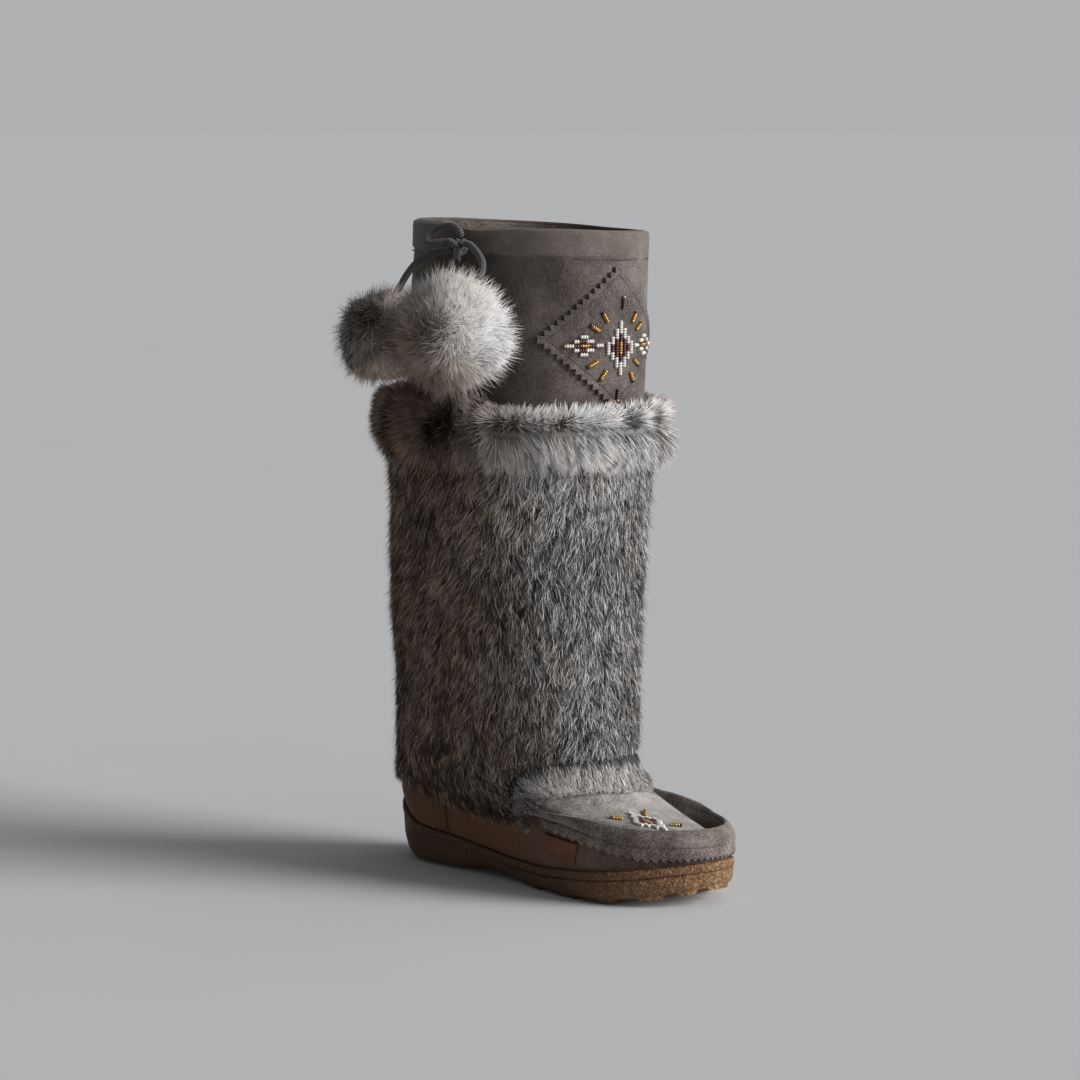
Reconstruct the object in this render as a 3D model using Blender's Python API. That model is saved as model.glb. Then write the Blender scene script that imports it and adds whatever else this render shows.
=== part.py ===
"""Right mukluk boot: suede upper with a wide shaft, fur sleeve, rolled fur cuff,
moccasin toe with a rolled band, crumb rubber outsole and two fur pompoms on a drawcord.

Frame: toe towards +X, inner (medial) side +Y, outer (lateral) side -Y, +Z up.
The origin is on the floor, on the flat heel lug. Sizes are in millimetres and are
turned into metres when a mesh is made.
"""
import math
from functools import lru_cache

import bmesh
import bpy
from mathutils import Vector

MM = 0.001
GAP = 0.3
FUR_GAP = 0.7
PANEL_GAP = 0.5

# Driving sizes of the boot
SOLE_LENGTH = 265.0
HEEL_BACK = -45.0
COLLAR_HEIGHT = 420.0
UPPER_WALL = 2.2
SOLE_WALL = 3.0
LUG_DEPTH = 2.5
INSOLE_THICKNESS = 4.0
BED_GAP = 0.6
STATIONS = 22
TURN = 2 * STATIONS
TURN_STEP = math.tau / TURN

# Round ends of the outline, as shares of its length
HEEL_ROUND = 0.13
TOE_ROUND = 0.21

# The sole from heel to toe: share of the length, half width, shift of the middle line to
# the inner side, height of the rim, height of the tread surface, height of the foot bed
SOLE_COLUMNS = ("along", "half_width", "middle", "rim", "tread", "bed")
SOLE_ROWS = (
    (0.00, 33.0, 0.0, 42.0, 5.0, 20.0),
    (0.06, 33.0, 0.0, 35.5, 2.5, 19.0),
    (0.14, 33.0, 0.0, 26.0, 2.5, 18.0),
    (0.25, 31.5, -0.3, 22.8, 2.5, 16.0),
    (0.37, 31.5, 0.0, 19.0, 6.0, 12.5),
    (0.47, 35.0, 1.5, 16.4, 4.0, 10.0),
    (0.56, 40.5, 2.8, 16.4, 2.5, 8.5),
    (0.66, 44.5, 3.2, 18.2, 2.5, 8.0),
    (0.75, 45.5, 4.0, 20.2, 2.5, 8.5),
    (0.86, 43.0, 7.5, 23.5, 5.0, 11.0),
    (0.94, 41.0, 11.0, 26.6, 9.5, 15.0),
    (1.00, 40.0, 13.0, 29.0, 14.0, 19.0),
)

# The upper between the sole and the shaft: how far a row has gone from the foot's
# outline to the shaft's, how far it stands out from the first row, and its height at
# the back, the side, the ball and the toe
UPPER_COLUMNS = ("blend", "swell", "back", "side", "ball", "toe")
UPPER_ROWS = (
    (0.00, 1.6, 48.0, 24.0, 28.0, 36.5),
    (0.02, 1.8, 53.0, 30.0, 36.0, 42.0),
    (0.06, 1.6, 58.0, 37.0, 43.0, 44.5),
    (0.16, 1.2, 63.0, 44.0, 48.0, 44.6),
    (0.34, 0.8, 69.0, 51.0, 51.5, 45.4),
    (0.55, 0.4, 75.0, 58.0, 56.0, 47.6),
    (0.75, 0.2, 81.0, 65.0, 62.0, 52.0),
    (0.90, 0.0, 86.0, 73.0, 70.0, 59.5),
    (0.98, 0.0, 91.0, 82.0, 80.0, 71.5),
)
UPPER_PLACES = ("back", "side", "ball", "toe")
PLACE_SHARES = (-1.0, -0.1, 0.45, 1.0)
SOLE_INSET = SOLE_WALL + GAP
EDGE_LIFT = 0.6
LEAN_LIMIT = 1.3
TINY = 0.0001
LEVEL_STEP = 0.05
NORMAL_TURN = 0.02
NORMAL_LEVEL = 0.15
SHARP_ANGLE = 50.0

# The shaft from its foot to the collar: height, middle, half length, half width
SHAFT_COLUMNS = ("height", "middle", "half_length", "half_width")
SHAFT_ROWS = (
    (95.0, 49.0, 89.0, 51.0),
    (130.0, 50.0, 86.0, 56.0),
    (165.0, 50.5, 84.0, 61.5),
    (205.0, 52.0, 82.0, 66.0),
    (245.0, 54.5, 81.0, 69.5),
    (283.5, 56.5, 80.5, 71.5),
    (320.0, 58.5, 80.0, 72.0),
    (360.0, 60.5, 79.0, 72.0),
    (401.0, 62.5, 78.0, 72.0),
    (403.5, 62.6, 79.0, 73.0),
    (417.5, 63.0, 79.0, 73.0),
    (COLLAR_HEIGHT, 63.0, 78.2, 72.2),
)
# The collar's rim is higher at the back and on the outer side
RIM_FALL_FORWARD = 0.030
RIM_FALL_INWARD = 0.034
RIM_FALL_START = 360.0

# Fur
SLEEVE_TOP = 280.0
SLEEVE_DEPTH_LOW = 6.2
SLEEVE_DEPTH_HIGH = 9.0
LOCK_DEPTH = 1.7
HEM_JAG = 3.0
HEM_TIP = 0.3
HEM_DEPTH = 2.2
SLEEVE_INNER_STEPS = 4
SLEEVE_OUTER_STEPS = 13
CUFF_LOW = 281.0
CUFF_HIGH = 318.0
CUFF_DEPTH = 23.0
CUFF_EDGE = 7.0
CUFF_LOCK = 2.0
CUFF_STEPS = 6
TRIM_DEPTH = 10.5
TRIM_STEPS = 6
TRIM_SEAT_STEPS = 4
TRIM_SEAT = 1.2
TRIM_EDGE = 1.8
TRIM_TAPER = 0.15
TRIM_LOCKS = (-0.4, 1.0)
TRIM_LEAST_RUN = 0.12
TRIM_CLEARANCE = 2.4

# Height of the fur's lower edge, from the back round to the front
HEM_SHARES = (-1.0, -0.72, -0.53, -0.35, -0.10, 0.08, 0.20, 0.30, 0.55, 0.80, 1.0)
HEM_HEIGHTS = (54.0, 50.0, 46.0, 42.5, 39.0, 41.0, 49.0, 58.0, 76.0, 85.0, 87.0)

# The strip of fur over the instep
TRIM_REACH = 8
TRIM_SHARES = (0.30, 0.55, 0.80, 1.0)
TRIM_LOWS = (56.5, 58.0, 60.5, 62.0)

# The rolled band round the toe
BAND_REACH = 9
BAND_STEPS = 36
BAND_SHARES = (0.28, 0.45, 0.60, 0.80, 1.0)
BAND_SHOULDERS = (50.0, 46.5, 42.8, 39.3, 39.4)
BAND_EDGES = (43.5, 39.5, 35.8, 32.0, 32.8)
ROLL_LIFTS = (1.05, 1.05, 1.0, 0.78, 0.76)
BAND_SKIN = 1.6
BAND_TOOTH = 1.1
BAND_SWELL = 0.2
ROLL_WIDTH = 8.0
ROLL_HEIGHT = 9.5

# The panel inside the band, the heel counter and the beaded patch
PLUG_THICKNESS = 1.3
PLUG_REACH = 7
PLUG_GAP = 0.9
PLUG_PAST_ROLL = 3.6
PLUG_LEAST_RUN = 0.25
PANEL_CLEARANCE = 1.2
COUNTER_LIFT = 0.6
COUNTER_STEPS = 4
PLUG_STEPS = 6
COUNTER_THICKNESS = 1.4
COUNTER_REACH = 7
PATCH_THICKNESS = 1.6
PATCH_MIDDLE = 350.5
PATCH_HALF_WIDTH = 56.0
PATCH_HALF_HEIGHT = 45.0
PATCH_CELLS = 8
PATCH_SWELL = 0.022
PATCH_TUCK = 24.0
SHAFT_RADIUS = 75.0

# The blank leather label: place along the boot and height of its corners
LABEL_CORNERS = ((117.5, 39.5), (147.5, 36.8), (143.5, 22.5), (113.5, 28.2))
LABEL_THICKNESS = 1.5
LABEL_CELLS = 4

# Pompoms and drawcord
CORD_RADIUS = 2.15
CORD_SPACING = 5.0
ROUTE_DIVISIONS = 16
POMPOM_TUFT = 2.6
POMPOM_DIP = 0.3
POMPOM_FRONT = (105.0, -105.5, 357.0)
POMPOM_FRONT_RADIUS = 34.0
POMPOM_BACK = (40.0, -104.0, 349.5)
POMPOM_BACK_RADIUS = 25.8
KNOT_PLACE = (79.5, -76.2, 408.0)
KNOT_SIZES = (5.2, 4.4, 4.8)


def clear_scene():
    for thing in list(bpy.data.objects):
        bpy.data.objects.remove(thing, do_unlink=True)


def curve_value(places, values, place):
    """Value at a place on a monotone cubic curve through the table's rows."""
    if place <= places[0]:
        return values[0]
    if place >= places[-1]:
        return values[-1]
    last = len(places) - 1
    step = 0
    while places[step + 1] < place:
        step += 1
    slopes = []
    for row in (step, step + 1):
        if row in (0, last):
            near = 0 if row == 0 else last - 1
            slopes.append((values[near + 1] - values[near]) / (places[near + 1] - places[near]))
            continue
        before = (values[row] - values[row - 1]) / (places[row] - places[row - 1])
        after = (values[row + 1] - values[row]) / (places[row + 1] - places[row])
        slopes.append(0.0 if before * after <= 0 else 2 * before * after / (before + after))
    width = places[step + 1] - places[step]
    t = (place - places[step]) / width
    start = (1 + 2 * t) * (1 - t) ** 2 * values[step]
    end = t * t * (3 - 2 * t) * values[step + 1]
    lean = width * (t * (1 - t) ** 2 * slopes[0] - t * t * (1 - t) * slopes[1])
    return start + end + lean


def column(rows, names, name):
    return tuple(row[names.index(name)] for row in rows)


def sole_value(name, along):
    return curve_value(
        column(SOLE_ROWS, SOLE_COLUMNS, "along"), column(SOLE_ROWS, SOLE_COLUMNS, name), along
    )


def along_at(turn):
    """Share of the sole's length, from a turn of 0 at the heel to pi at the toe."""
    return (1 - math.cos(turn)) / 2


def end_rounding(along):
    if along < HEEL_ROUND:
        return math.sqrt(max(0.0, 1 - (1 - along / HEEL_ROUND) ** 2))
    if along > 1 - TOE_ROUND:
        return math.sqrt(max(0.0, 1 - ((along - 1 + TOE_ROUND) / TOE_ROUND) ** 2))
    return 1.0


def outline_point(turn):
    along = along_at(turn)
    side = -1 if turn % math.tau < math.pi else 1
    half = sole_value("half_width", along) * end_rounding(along)
    across = sole_value("middle", along) + side * half
    return Vector((HEEL_BACK + SOLE_LENGTH * along, across, 0.0))


@lru_cache(maxsize=None)
def outline_with_normal(turn):
    step = 0.01
    run = outline_point(turn + step) - outline_point(turn - step)
    return outline_point(turn), Vector((run.y, -run.x, 0.0)).normalized()


def outline(turn, inset):
    """Point of the sole's outline moved inwards by the inset."""
    point, outward = outline_with_normal(turn)
    return point - outward * inset


def shaft_value(name, height):
    return curve_value(
        column(SHAFT_ROWS, SHAFT_COLUMNS, "height"), column(SHAFT_ROWS, SHAFT_COLUMNS, name), height
    )


def shaft_point(turn, height):
    x = shaft_value("middle", height) - shaft_value("half_length", height) * math.cos(turn)
    y = -shaft_value("half_width", height) * math.sin(turn)
    fall = RIM_FALL_FORWARD * (x - SHAFT_ROWS[-1][1]) + RIM_FALL_INWARD * y
    share = (height - RIM_FALL_START) / (COLLAR_HEIGHT - RIM_FALL_START)
    return Vector((x, y, height - fall * min(1.0, max(0.0, share))))


@lru_cache(maxsize=None)
def skin_rows(turn):
    """The upper's outer surface at one turn, as a point for each row, bottom to top."""
    along = along_at(turn)
    facing = -math.cos(turn)
    rows = []
    for height in (sole_value("bed", along) + EDGE_LIFT, sole_value("rim", along)):
        point = outline(turn, SOLE_INSET)
        rows.append(Vector((point.x, point.y, height)))
    target = shaft_point(turn, SHAFT_ROWS[0][0])
    for row in UPPER_ROWS:
        named = dict(zip(UPPER_COLUMNS, row))
        height = curve_value(PLACE_SHARES, [named[place] for place in UPPER_PLACES], facing)
        foot = outline(turn, SOLE_INSET - named["swell"])
        point = foot.lerp(Vector((target.x, target.y, 0.0)), named["blend"])
        rows.append(Vector((point.x, point.y, height)))
    for row in SHAFT_ROWS:
        rows.append(shaft_point(turn, row[0]))
    return tuple(rows)


LAST_ROW = 1 + len(UPPER_ROWS) + len(SHAFT_ROWS)
SHAFT_START = 2 + len(UPPER_ROWS)
SLEEVE_ROWS = range(SHAFT_START + 1, SHAFT_START + 5)


def hermite(before, start, end, after, t):
    """Smooth curve from start to end, with leans no longer than the step between them."""
    reach = (end - start).length * LEAN_LIMIT
    lean_in = (end - before) / 2
    lean_out = (after - start) / 2
    lean_in *= min(1.0, reach / max(lean_in.length, TINY))
    lean_out *= min(1.0, reach / max(lean_out.length, TINY))
    return (
        start * ((1 + 2 * t) * (1 - t) ** 2)
        + end * (t * t * (3 - 2 * t))
        + lean_in * (t * (1 - t) ** 2)
        - lean_out * (t * t * (1 - t))
    )


def skin_point(turn, level):
    """Point on the upper's outer surface between two rows, on a smooth curve."""
    rows = skin_rows(turn)
    level = min(max(level, 0.0), float(LAST_ROW))
    low = min(int(level), LAST_ROW - 1)
    t = level - low
    before = rows[max(low - 1, 0)]
    start = rows[low]
    end = rows[low + 1]
    after = rows[min(low + 2, LAST_ROW)]
    return hermite(before, start, end, after, t)


@lru_cache(maxsize=None)
def skin_normal(turn, level):
    around = skin_point(turn + NORMAL_TURN, level) - skin_point(turn - NORMAL_TURN, level)
    upward = skin_point(turn, level + NORMAL_LEVEL) - skin_point(turn, level - NORMAL_LEVEL)
    return around.cross(upward).normalized()


def skin(turn, level, offset):
    return skin_point(turn, level) + skin_normal(turn, level) * offset


@lru_cache(maxsize=None)
def level_at(turn, height):
    """Level at which the upper's surface first reaches a height, above the sole's rim."""
    level = 1.0
    while level < LAST_ROW and skin_point(turn, level).z < height:
        level += LEVEL_STEP
    low = level - LEVEL_STEP
    below = skin_point(turn, low).z
    above = skin_point(turn, level).z
    return low + LEVEL_STEP * (height - below) / max(above - below, TINY)


def facing_at(turn):
    """-1 at the back of the boot, 1 at its front."""
    return -math.cos(turn)


def turns(first, last, steps):
    return [first + (last - first) * step / steps for step in range(steps + 1)]


def ring_turns():
    """A turn for every column of the upper, all the way round."""
    return turns(0.0, math.tau, TURN)[:-1]


def turns_about(middle, reach, steps):
    """Turns either side of a middle one, as far as a number of the upper's own columns."""
    return turns(middle - reach * TURN_STEP, middle + reach * TURN_STEP, steps)


def material(name, colour, roughness, metallic=0.0):
    made = bpy.data.materials.new(name)
    made.use_nodes = True
    shader = made.node_tree.nodes["Principled BSDF"]
    shader.inputs["Base Color"].default_value = (*colour, 1.0)
    shader.inputs["Roughness"].default_value = roughness
    shader.inputs["Metallic"].default_value = metallic
    return made


def object_from(name, mesh_maker, finish):
    """Make a named object from a function that fills a bmesh in millimetres."""
    shape = bmesh.new()
    mesh_maker(shape)
    bmesh.ops.triangulate(shape, faces=shape.faces)
    bmesh.ops.scale(shape, vec=(MM, MM, MM), verts=shape.verts)
    bmesh.ops.recalc_face_normals(shape, faces=shape.faces)
    if shape.calc_volume(signed=True) < 0:
        bmesh.ops.reverse_faces(shape, faces=shape.faces)
    mesh = bpy.data.meshes.new(name)
    shape.to_mesh(mesh)
    shape.free()
    mesh.shade_smooth()
    mesh.set_sharp_from_angle(angle=math.radians(SHARP_ANGLE))
    mesh.materials.append(finish)
    thing = bpy.data.objects.new(name, mesh)
    bpy.context.scene.collection.objects.link(thing)
    return thing


def sweep(shape, sections, closed):
    """Join cross-sections, each a closed ring of points, into one closed surface."""
    rings = [[shape.verts.new(point) for point in section] for section in sections]
    count = len(rings[0])
    pairs = list(zip(rings, rings[1:]))
    if closed:
        pairs.append((rings[-1], rings[0]))
    for ring, following in pairs:
        for place in range(count):
            after = (place + 1) % count
            shape.faces.new((ring[place], ring[after], following[after], following[place]))
    if not closed:
        shape.faces.new(rings[0])
        shape.faces.new(reversed(rings[-1]))


def lift_in_columns(shape, low_ring, faces_across, height_name, lift):
    """Close a ring of outline points with rows of faces that run across the boot."""
    count = len(low_ring)
    half = count // 2
    columns = []
    for station in range(1, half):
        outer = low_ring[station]
        inner = low_ring[count - station]
        line = [outer]
        for place in range(1, faces_across):
            point = outer.co.lerp(inner.co, place / faces_across)
            along = (point.x - HEEL_BACK) / SOLE_LENGTH
            point.z = sole_value(height_name, along) + lift
            line.append(shape.verts.new(point))
        line.append(inner)
        columns.append(line)
    cells = {}
    for station, (line, following) in enumerate(zip(columns, columns[1:])):
        for place in range(faces_across):
            corners = (line[place], line[place + 1], following[place + 1], following[place])
            cells[station, place] = shape.faces.new(corners)
    for tip, line in ((low_ring[0], columns[0]), (low_ring[half], columns[-1])):
        for place in range(faces_across):
            shape.faces.new((tip, line[place], line[place + 1]))
    return cells


# Outsole

# Rings up the side of the sole: share of the way from tread to rim, drop below the rim
# in millimetres, inset at the sides, and added inset at the heel's back
SOLE_SIDE = (
    (0.00, 0.0, 3.2, 7.5),
    (0.14, 0.0, 1.3, 4.5),
    (0.45, 0.0, 0.5, 1.2),
    (1.00, 6.4, 0.5, 0.2),
    (1.00, 5.9, 1.3, 0.0),
    (1.00, 5.3, 0.0, 0.0),
    (1.00, 0.9, 0.0, 0.0),
    (1.00, 0.0, 0.9, 0.0),
)
GROOVE_RING = 4
GROOVE_FROM = 0.33
GROOVE_FULL = 0.48
SIDE_INSET = 0.3
HEEL_TUCK = 0.2
TREAD_COLUMNS = 8
HEEL_TREAD = (0.02, 0.26)
FOREFOOT_FROM = 0.50
BLOCK_COLUMNS = (0, 2, 3, 4, 5, 7)
BED_COLUMNS = 4


def sole_ring(turn, share, drop, inset, heel_inset, ring):
    along = along_at(turn)
    tread = sole_value("tread", along)
    rim = sole_value("rim", along)
    height = tread + (rim - tread) * share - drop
    heel = max(0.0, math.cos(turn)) ** 2 * max(0.0, 1 - along / HEEL_TUCK)
    depth = inset + heel_inset * heel
    if ring == GROOVE_RING:
        share_of_groove = (along - GROOVE_FROM) / (GROOVE_FULL - GROOVE_FROM)
        depth = SIDE_INSET + (inset - SIDE_INSET) * min(1.0, max(0.0, share_of_groove))
    point = outline(turn, depth)
    return Vector((point.x, point.y, height))


def is_lug(station, place):
    """Tread pattern: a full heel, two small bars at the waist, blocks at the forefoot."""
    along = along_at(math.pi * (station + 1.5) / STATIONS)
    if along < HEEL_TREAD[1]:
        return 0 < place < TREAD_COLUMNS - 1 and along > HEEL_TREAD[0]
    if along < FOREFOOT_FROM:
        return station % 2 == 0 and 1 < place < TREAD_COLUMNS - 2
    return station % 2 == 0 and place in BLOCK_COLUMNS


def build_outsole(shape):
    rings = []
    for ring, (share, drop, inset, heel_inset) in enumerate(SOLE_SIDE):
        points = [sole_ring(turn, share, drop, inset, heel_inset, ring) for turn in ring_turns()]
        rings.append([shape.verts.new(point) for point in points])
    for height_name in ("rim", "bed"):
        points = []
        for turn in ring_turns():
            point = outline(turn, SOLE_WALL)
            points.append(Vector((point.x, point.y, sole_value(height_name, along_at(turn)))))
        rings.append([shape.verts.new(point) for point in points])
    for ring, following in zip(rings, rings[1:]):
        for place in range(TURN):
            after = (place + 1) % TURN
            shape.faces.new((ring[place], ring[after], following[after], following[place]))

    tread = lift_in_columns(shape, rings[0], TREAD_COLUMNS, "tread", 0.0)
    lift_in_columns(shape, rings[-1], BED_COLUMNS, "bed", 0.0)
    lugs = [face for (station, place), face in tread.items() if is_lug(station, place)]
    made = bmesh.ops.extrude_face_region(shape, geom=lugs)
    bmesh.ops.delete(shape, geom=lugs, context="FACES")
    for vertex in (part for part in made["geom"] if isinstance(part, bmesh.types.BMVert)):
        vertex.co.z -= LUG_DEPTH


# Upper

INNER_LEVELS = (22, 20, 18, 15, 12, 10, 8, 7, 6, 5, 4, 3, 2, 1, 0)


def upper_section(turn):
    """Outer surface from its lower edge to the collar, then the inner one back down."""
    outer = [skin(turn, level, 0.0) for level in range(LAST_ROW + 1)]
    inner = []
    for level in INNER_LEVELS:
        point = skin(turn, level, -UPPER_WALL)
        if level == 0:
            point.z = outer[0].z
        if level == LAST_ROW:
            point.z = outer[-1].z
        inner.append(point)
    return outer + inner


def build_upper(shape):
    sweep(shape, [upper_section(turn) for turn in ring_turns()], True)


# Insole

INSOLE_INSET = SOLE_INSET + UPPER_WALL + PANEL_GAP


def build_insole(shape):
    rings = []
    for lift in (BED_GAP, BED_GAP + INSOLE_THICKNESS):
        points = []
        for turn in ring_turns():
            point = outline(turn, INSOLE_INSET)
            along = (point.x - HEEL_BACK) / SOLE_LENGTH
            points.append(Vector((point.x, point.y, sole_value("bed", along) + lift)))
        rings.append([shape.verts.new(point) for point in points])
    for place in range(TURN):
        after = (place + 1) % TURN
        shape.faces.new((rings[0][place], rings[0][after], rings[1][after], rings[1][place]))
    for ring, lift in zip(rings, (BED_GAP, BED_GAP + INSOLE_THICKNESS)):
        lift_in_columns(shape, ring, BED_COLUMNS, "bed", lift)


# Rolled band round the toe, with its pinked lower edge

ROLL_ARC = (
    (1.9, 3.0),
    (1.4, 6.2),
    (-0.8, 8.8),
    (-4.0, ROLL_HEIGHT),
    (-6.9, 8.0),
    (-ROLL_WIDTH, 5.0),
    (-7.8, 2.2),
)


def band_section(turn, tooth):
    """Skin of the band over the toe's wall, its rolled top, and the seat on the upper."""
    facing = facing_at(turn)
    shoulder = level_at(turn, curve_value(BAND_SHARES, BAND_SHOULDERS, facing))
    edge = level_at(turn, curve_value(BAND_SHARES, BAND_EDGES, facing) + tooth)
    middle = (edge + shoulder) / 2
    inside = level_beyond(turn, shoulder, ROLL_WIDTH)
    base = skin(turn, shoulder, PANEL_GAP)
    foot = skin(turn, inside, PANEL_GAP)
    outward = (base - foot).normalized()
    upward = (skin_normal(turn, inside) + Vector((0.0, 0.0, 1.0))).normalized()
    outer_skin = PANEL_GAP + BAND_SKIN
    section = [skin(turn, edge, outer_skin), skin(turn, middle, outer_skin + BAND_SWELL)]
    lift = curve_value(BAND_SHARES, ROLL_LIFTS, facing)
    section += [base + outward * out + upward * up * lift for out, up in ROLL_ARC]
    section += [skin(turn, inside, PANEL_GAP), skin(turn, (inside + shoulder) / 2, PANEL_GAP)]
    section += [base, skin(turn, middle, PANEL_GAP), skin(turn, edge, PANEL_GAP)]
    return section


def build_band(shape):
    sections = []
    for place, turn in enumerate(turns_about(math.pi, BAND_REACH, BAND_STEPS)):
        tooth = BAND_TOOTH if place % 2 else -BAND_TOOTH
        sections.append(band_section(turn, tooth))
    sweep(shape, sections, False)


# Panels that lie on the upper


def panel_section(turn, low, high, steps, gap, thickness):
    levels = turns(low, high, steps)
    inner = [skin(turn, level, gap) for level in levels]
    outer = [skin(turn, level, gap + thickness) for level in reversed(levels)]
    return inner + outer


def build_counter(shape):
    """Panel round the heel, from the sole's rim up under the fur."""
    sections = []
    for turn in turns_about(0.0, COUNTER_REACH, 2 * COUNTER_REACH):
        low = level_at(turn, sole_value("rim", along_at(turn)) + COUNTER_LIFT)
        hem = curve_value(HEM_SHARES, HEM_HEIGHTS, facing_at(turn))
        high = level_at(turn, hem - HEM_JAG - PANEL_CLEARANCE)
        section = panel_section(turn, low, high, COUNTER_STEPS, PANEL_GAP, COUNTER_THICKNESS)
        sections.append(section)
    sweep(shape, sections, False)


def build_plug(shape):
    """Beaded panel that lies inside the rolled band and runs up to the fur."""
    sections = []
    for turn in turns_about(math.pi, PLUG_REACH, 2 * PLUG_REACH):
        facing = facing_at(turn)
        shoulder = level_at(turn, curve_value(BAND_SHARES, BAND_SHOULDERS, facing))
        low = level_beyond(turn, shoulder, ROLL_WIDTH + PLUG_PAST_ROLL)
        trim = curve_value(TRIM_SHARES, TRIM_LOWS, facing)
        high = max(level_at(turn, trim - PANEL_CLEARANCE), low + PLUG_LEAST_RUN)
        sections.append(panel_section(turn, low, high, PLUG_STEPS, PLUG_GAP, PLUG_THICKNESS))
    sweep(shape, sections, False)


def level_beyond(turn, level, reach):
    place = level
    while place < LAST_ROW and (skin_point(turn, place) - skin_point(turn, level)).length < reach:
        place += LEVEL_STEP
    return place


# Fur


def sleeve_section(turn, place):
    """Against the skin from the hem to the top, then back down over combed, staggered locks."""
    hem = curve_value(HEM_SHARES, HEM_HEIGHTS, facing_at(turn))
    hem += HEM_JAG if place % 2 else -HEM_JAG * HEM_TIP
    low = level_at(turn, hem)
    high = level_at(turn, SLEEVE_TOP)
    inner_levels = turns(low, SHAFT_START, SLEEVE_INNER_STEPS) + list(SLEEVE_ROWS) + [high]
    section = [skin(turn, level, FUR_GAP) for level in inner_levels]
    for step in range(SLEEVE_OUTER_STEPS, -1, -1):
        rise = step / SLEEVE_OUTER_STEPS
        depth = SLEEVE_DEPTH_LOW + (SLEEVE_DEPTH_HIGH - SLEEVE_DEPTH_LOW) * rise
        depth += LOCK_DEPTH if (place + step) % 2 else -LOCK_DEPTH
        if step == 0:
            depth = HEM_DEPTH
        if step == SLEEVE_OUTER_STEPS:
            depth = SLEEVE_DEPTH_HIGH
        level = level_at(turn, hem + (SLEEVE_TOP - hem) * rise)
        section.append(skin(turn, level, FUR_GAP + depth))
    return section


def build_sleeve(shape):
    sweep(shape, [sleeve_section(turn, place) for place, turn in enumerate(ring_turns())], True)


def patch_room(turn):
    """Room behind the cuff for the lower corner of the beaded patch."""
    arc = SHAFT_RADIUS * abs(turn - math.pi)
    return PATCH_THICKNESS + GAP if arc < PATCH_TUCK else 0.0


def cuff_section(turn, place):
    levels = turns(level_at(turn, CUFF_LOW), level_at(turn, CUFF_HIGH), 2)
    inner = [skin(turn, level, PANEL_GAP + patch_room(turn)) for level in levels]
    outer = []
    for step in range(CUFF_STEPS + 1):
        swing = math.pi * step / CUFF_STEPS
        height = (CUFF_HIGH + CUFF_LOW) / 2 + (CUFF_HIGH - CUFF_LOW) / 2 * math.cos(swing)
        level = level_at(turn, height)
        bulge = CUFF_EDGE + (CUFF_DEPTH - CUFF_EDGE) * math.sin(swing)
        lock = CUFF_LOCK * math.sin(swing) * (1 if (place + step) % 2 else -1)
        outer.append(skin(turn, level, GAP + bulge + lock))
    return inner + outer


def build_cuff(shape):
    sweep(shape, [cuff_section(turn, place) for place, turn in enumerate(ring_turns())], True)


def trim_section(turn, place):
    facing = facing_at(turn)
    low = level_at(turn, curve_value(TRIM_SHARES, TRIM_LOWS, facing))
    high = level_at(turn, curve_value(HEM_SHARES, HEM_HEIGHTS, facing) - TRIM_CLEARANCE)
    high = max(high, low + TRIM_LEAST_RUN)
    reach = abs(turn - math.pi) / (TRIM_REACH * TURN_STEP)
    section = [skin(turn, level, TRIM_SEAT) for level in turns(low, high, TRIM_SEAT_STEPS)]
    for step in range(TRIM_STEPS, -1, -1):
        swing = math.pi * step / TRIM_STEPS
        level = low + (high - low) * (1 - math.cos(swing)) / 2
        depth = TRIM_DEPTH * (1 - TRIM_TAPER * reach * reach) + TRIM_LOCKS[(place + step) % 2]
        section.append(skin(turn, level, FUR_GAP + TRIM_EDGE + depth * math.sin(swing)))
    return section


def build_trim(shape):
    ring = turns_about(math.pi, TRIM_REACH, 2 * TRIM_REACH)
    sweep(shape, [trim_section(turn, place) for place, turn in enumerate(ring)], False)


# Patch on the shaft and label on the foot


def build_patch(shape):
    """Diamond of suede wrapped round the front of the shaft, with a pinked edge."""
    lines = {}
    for face, offset in ((0, GAP), (1, GAP + PATCH_THICKNESS)):
        for row in range(PATCH_CELLS + 1):
            for place in range(PATCH_CELLS + 1):
                a = row / PATCH_CELLS
                b = place / PATCH_CELLS
                edge = row in (0, PATCH_CELLS) or place in (0, PATCH_CELLS)
                swell = 1 + (PATCH_SWELL if edge and (row + place) % 2 else 0.0)
                arc = PATCH_HALF_WIDTH * (a - b) * swell
                height = PATCH_MIDDLE + PATCH_HALF_HEIGHT * (a + b - 1) * swell
                turn = math.pi + arc / SHAFT_RADIUS
                lines[face, row, place] = shape.verts.new(skin(turn, level_at(turn, height), offset))
    for face in (0, 1):
        for row in range(PATCH_CELLS):
            for place in range(PATCH_CELLS):
                corners = [(row, place), (row + 1, place), (row + 1, place + 1), (row, place + 1)]
                shape.faces.new([lines[face, x, y] for x, y in corners])
    rim = [(row, 0) for row in range(PATCH_CELLS)]
    rim += [(PATCH_CELLS, place) for place in range(PATCH_CELLS)]
    rim += [(row, PATCH_CELLS) for row in range(PATCH_CELLS, 0, -1)]
    rim += [(0, place) for place in range(PATCH_CELLS, 0, -1)]
    for here, after in zip(rim, rim[1:] + rim[:1]):
        shape.faces.new((lines[0, *here], lines[0, *after], lines[1, *after], lines[1, *here]))


def turn_on_outer_side(x, height):
    """Turn at which the foot's outer side stands at a place along the boot."""
    low = 0.2 * math.pi
    high = 0.97 * math.pi
    for _ in range(30):
        middle = (low + high) / 2
        if skin_point(middle, level_at(middle, height)).x < x:
            low = middle
        else:
            high = middle
    return (low + high) / 2


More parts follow.
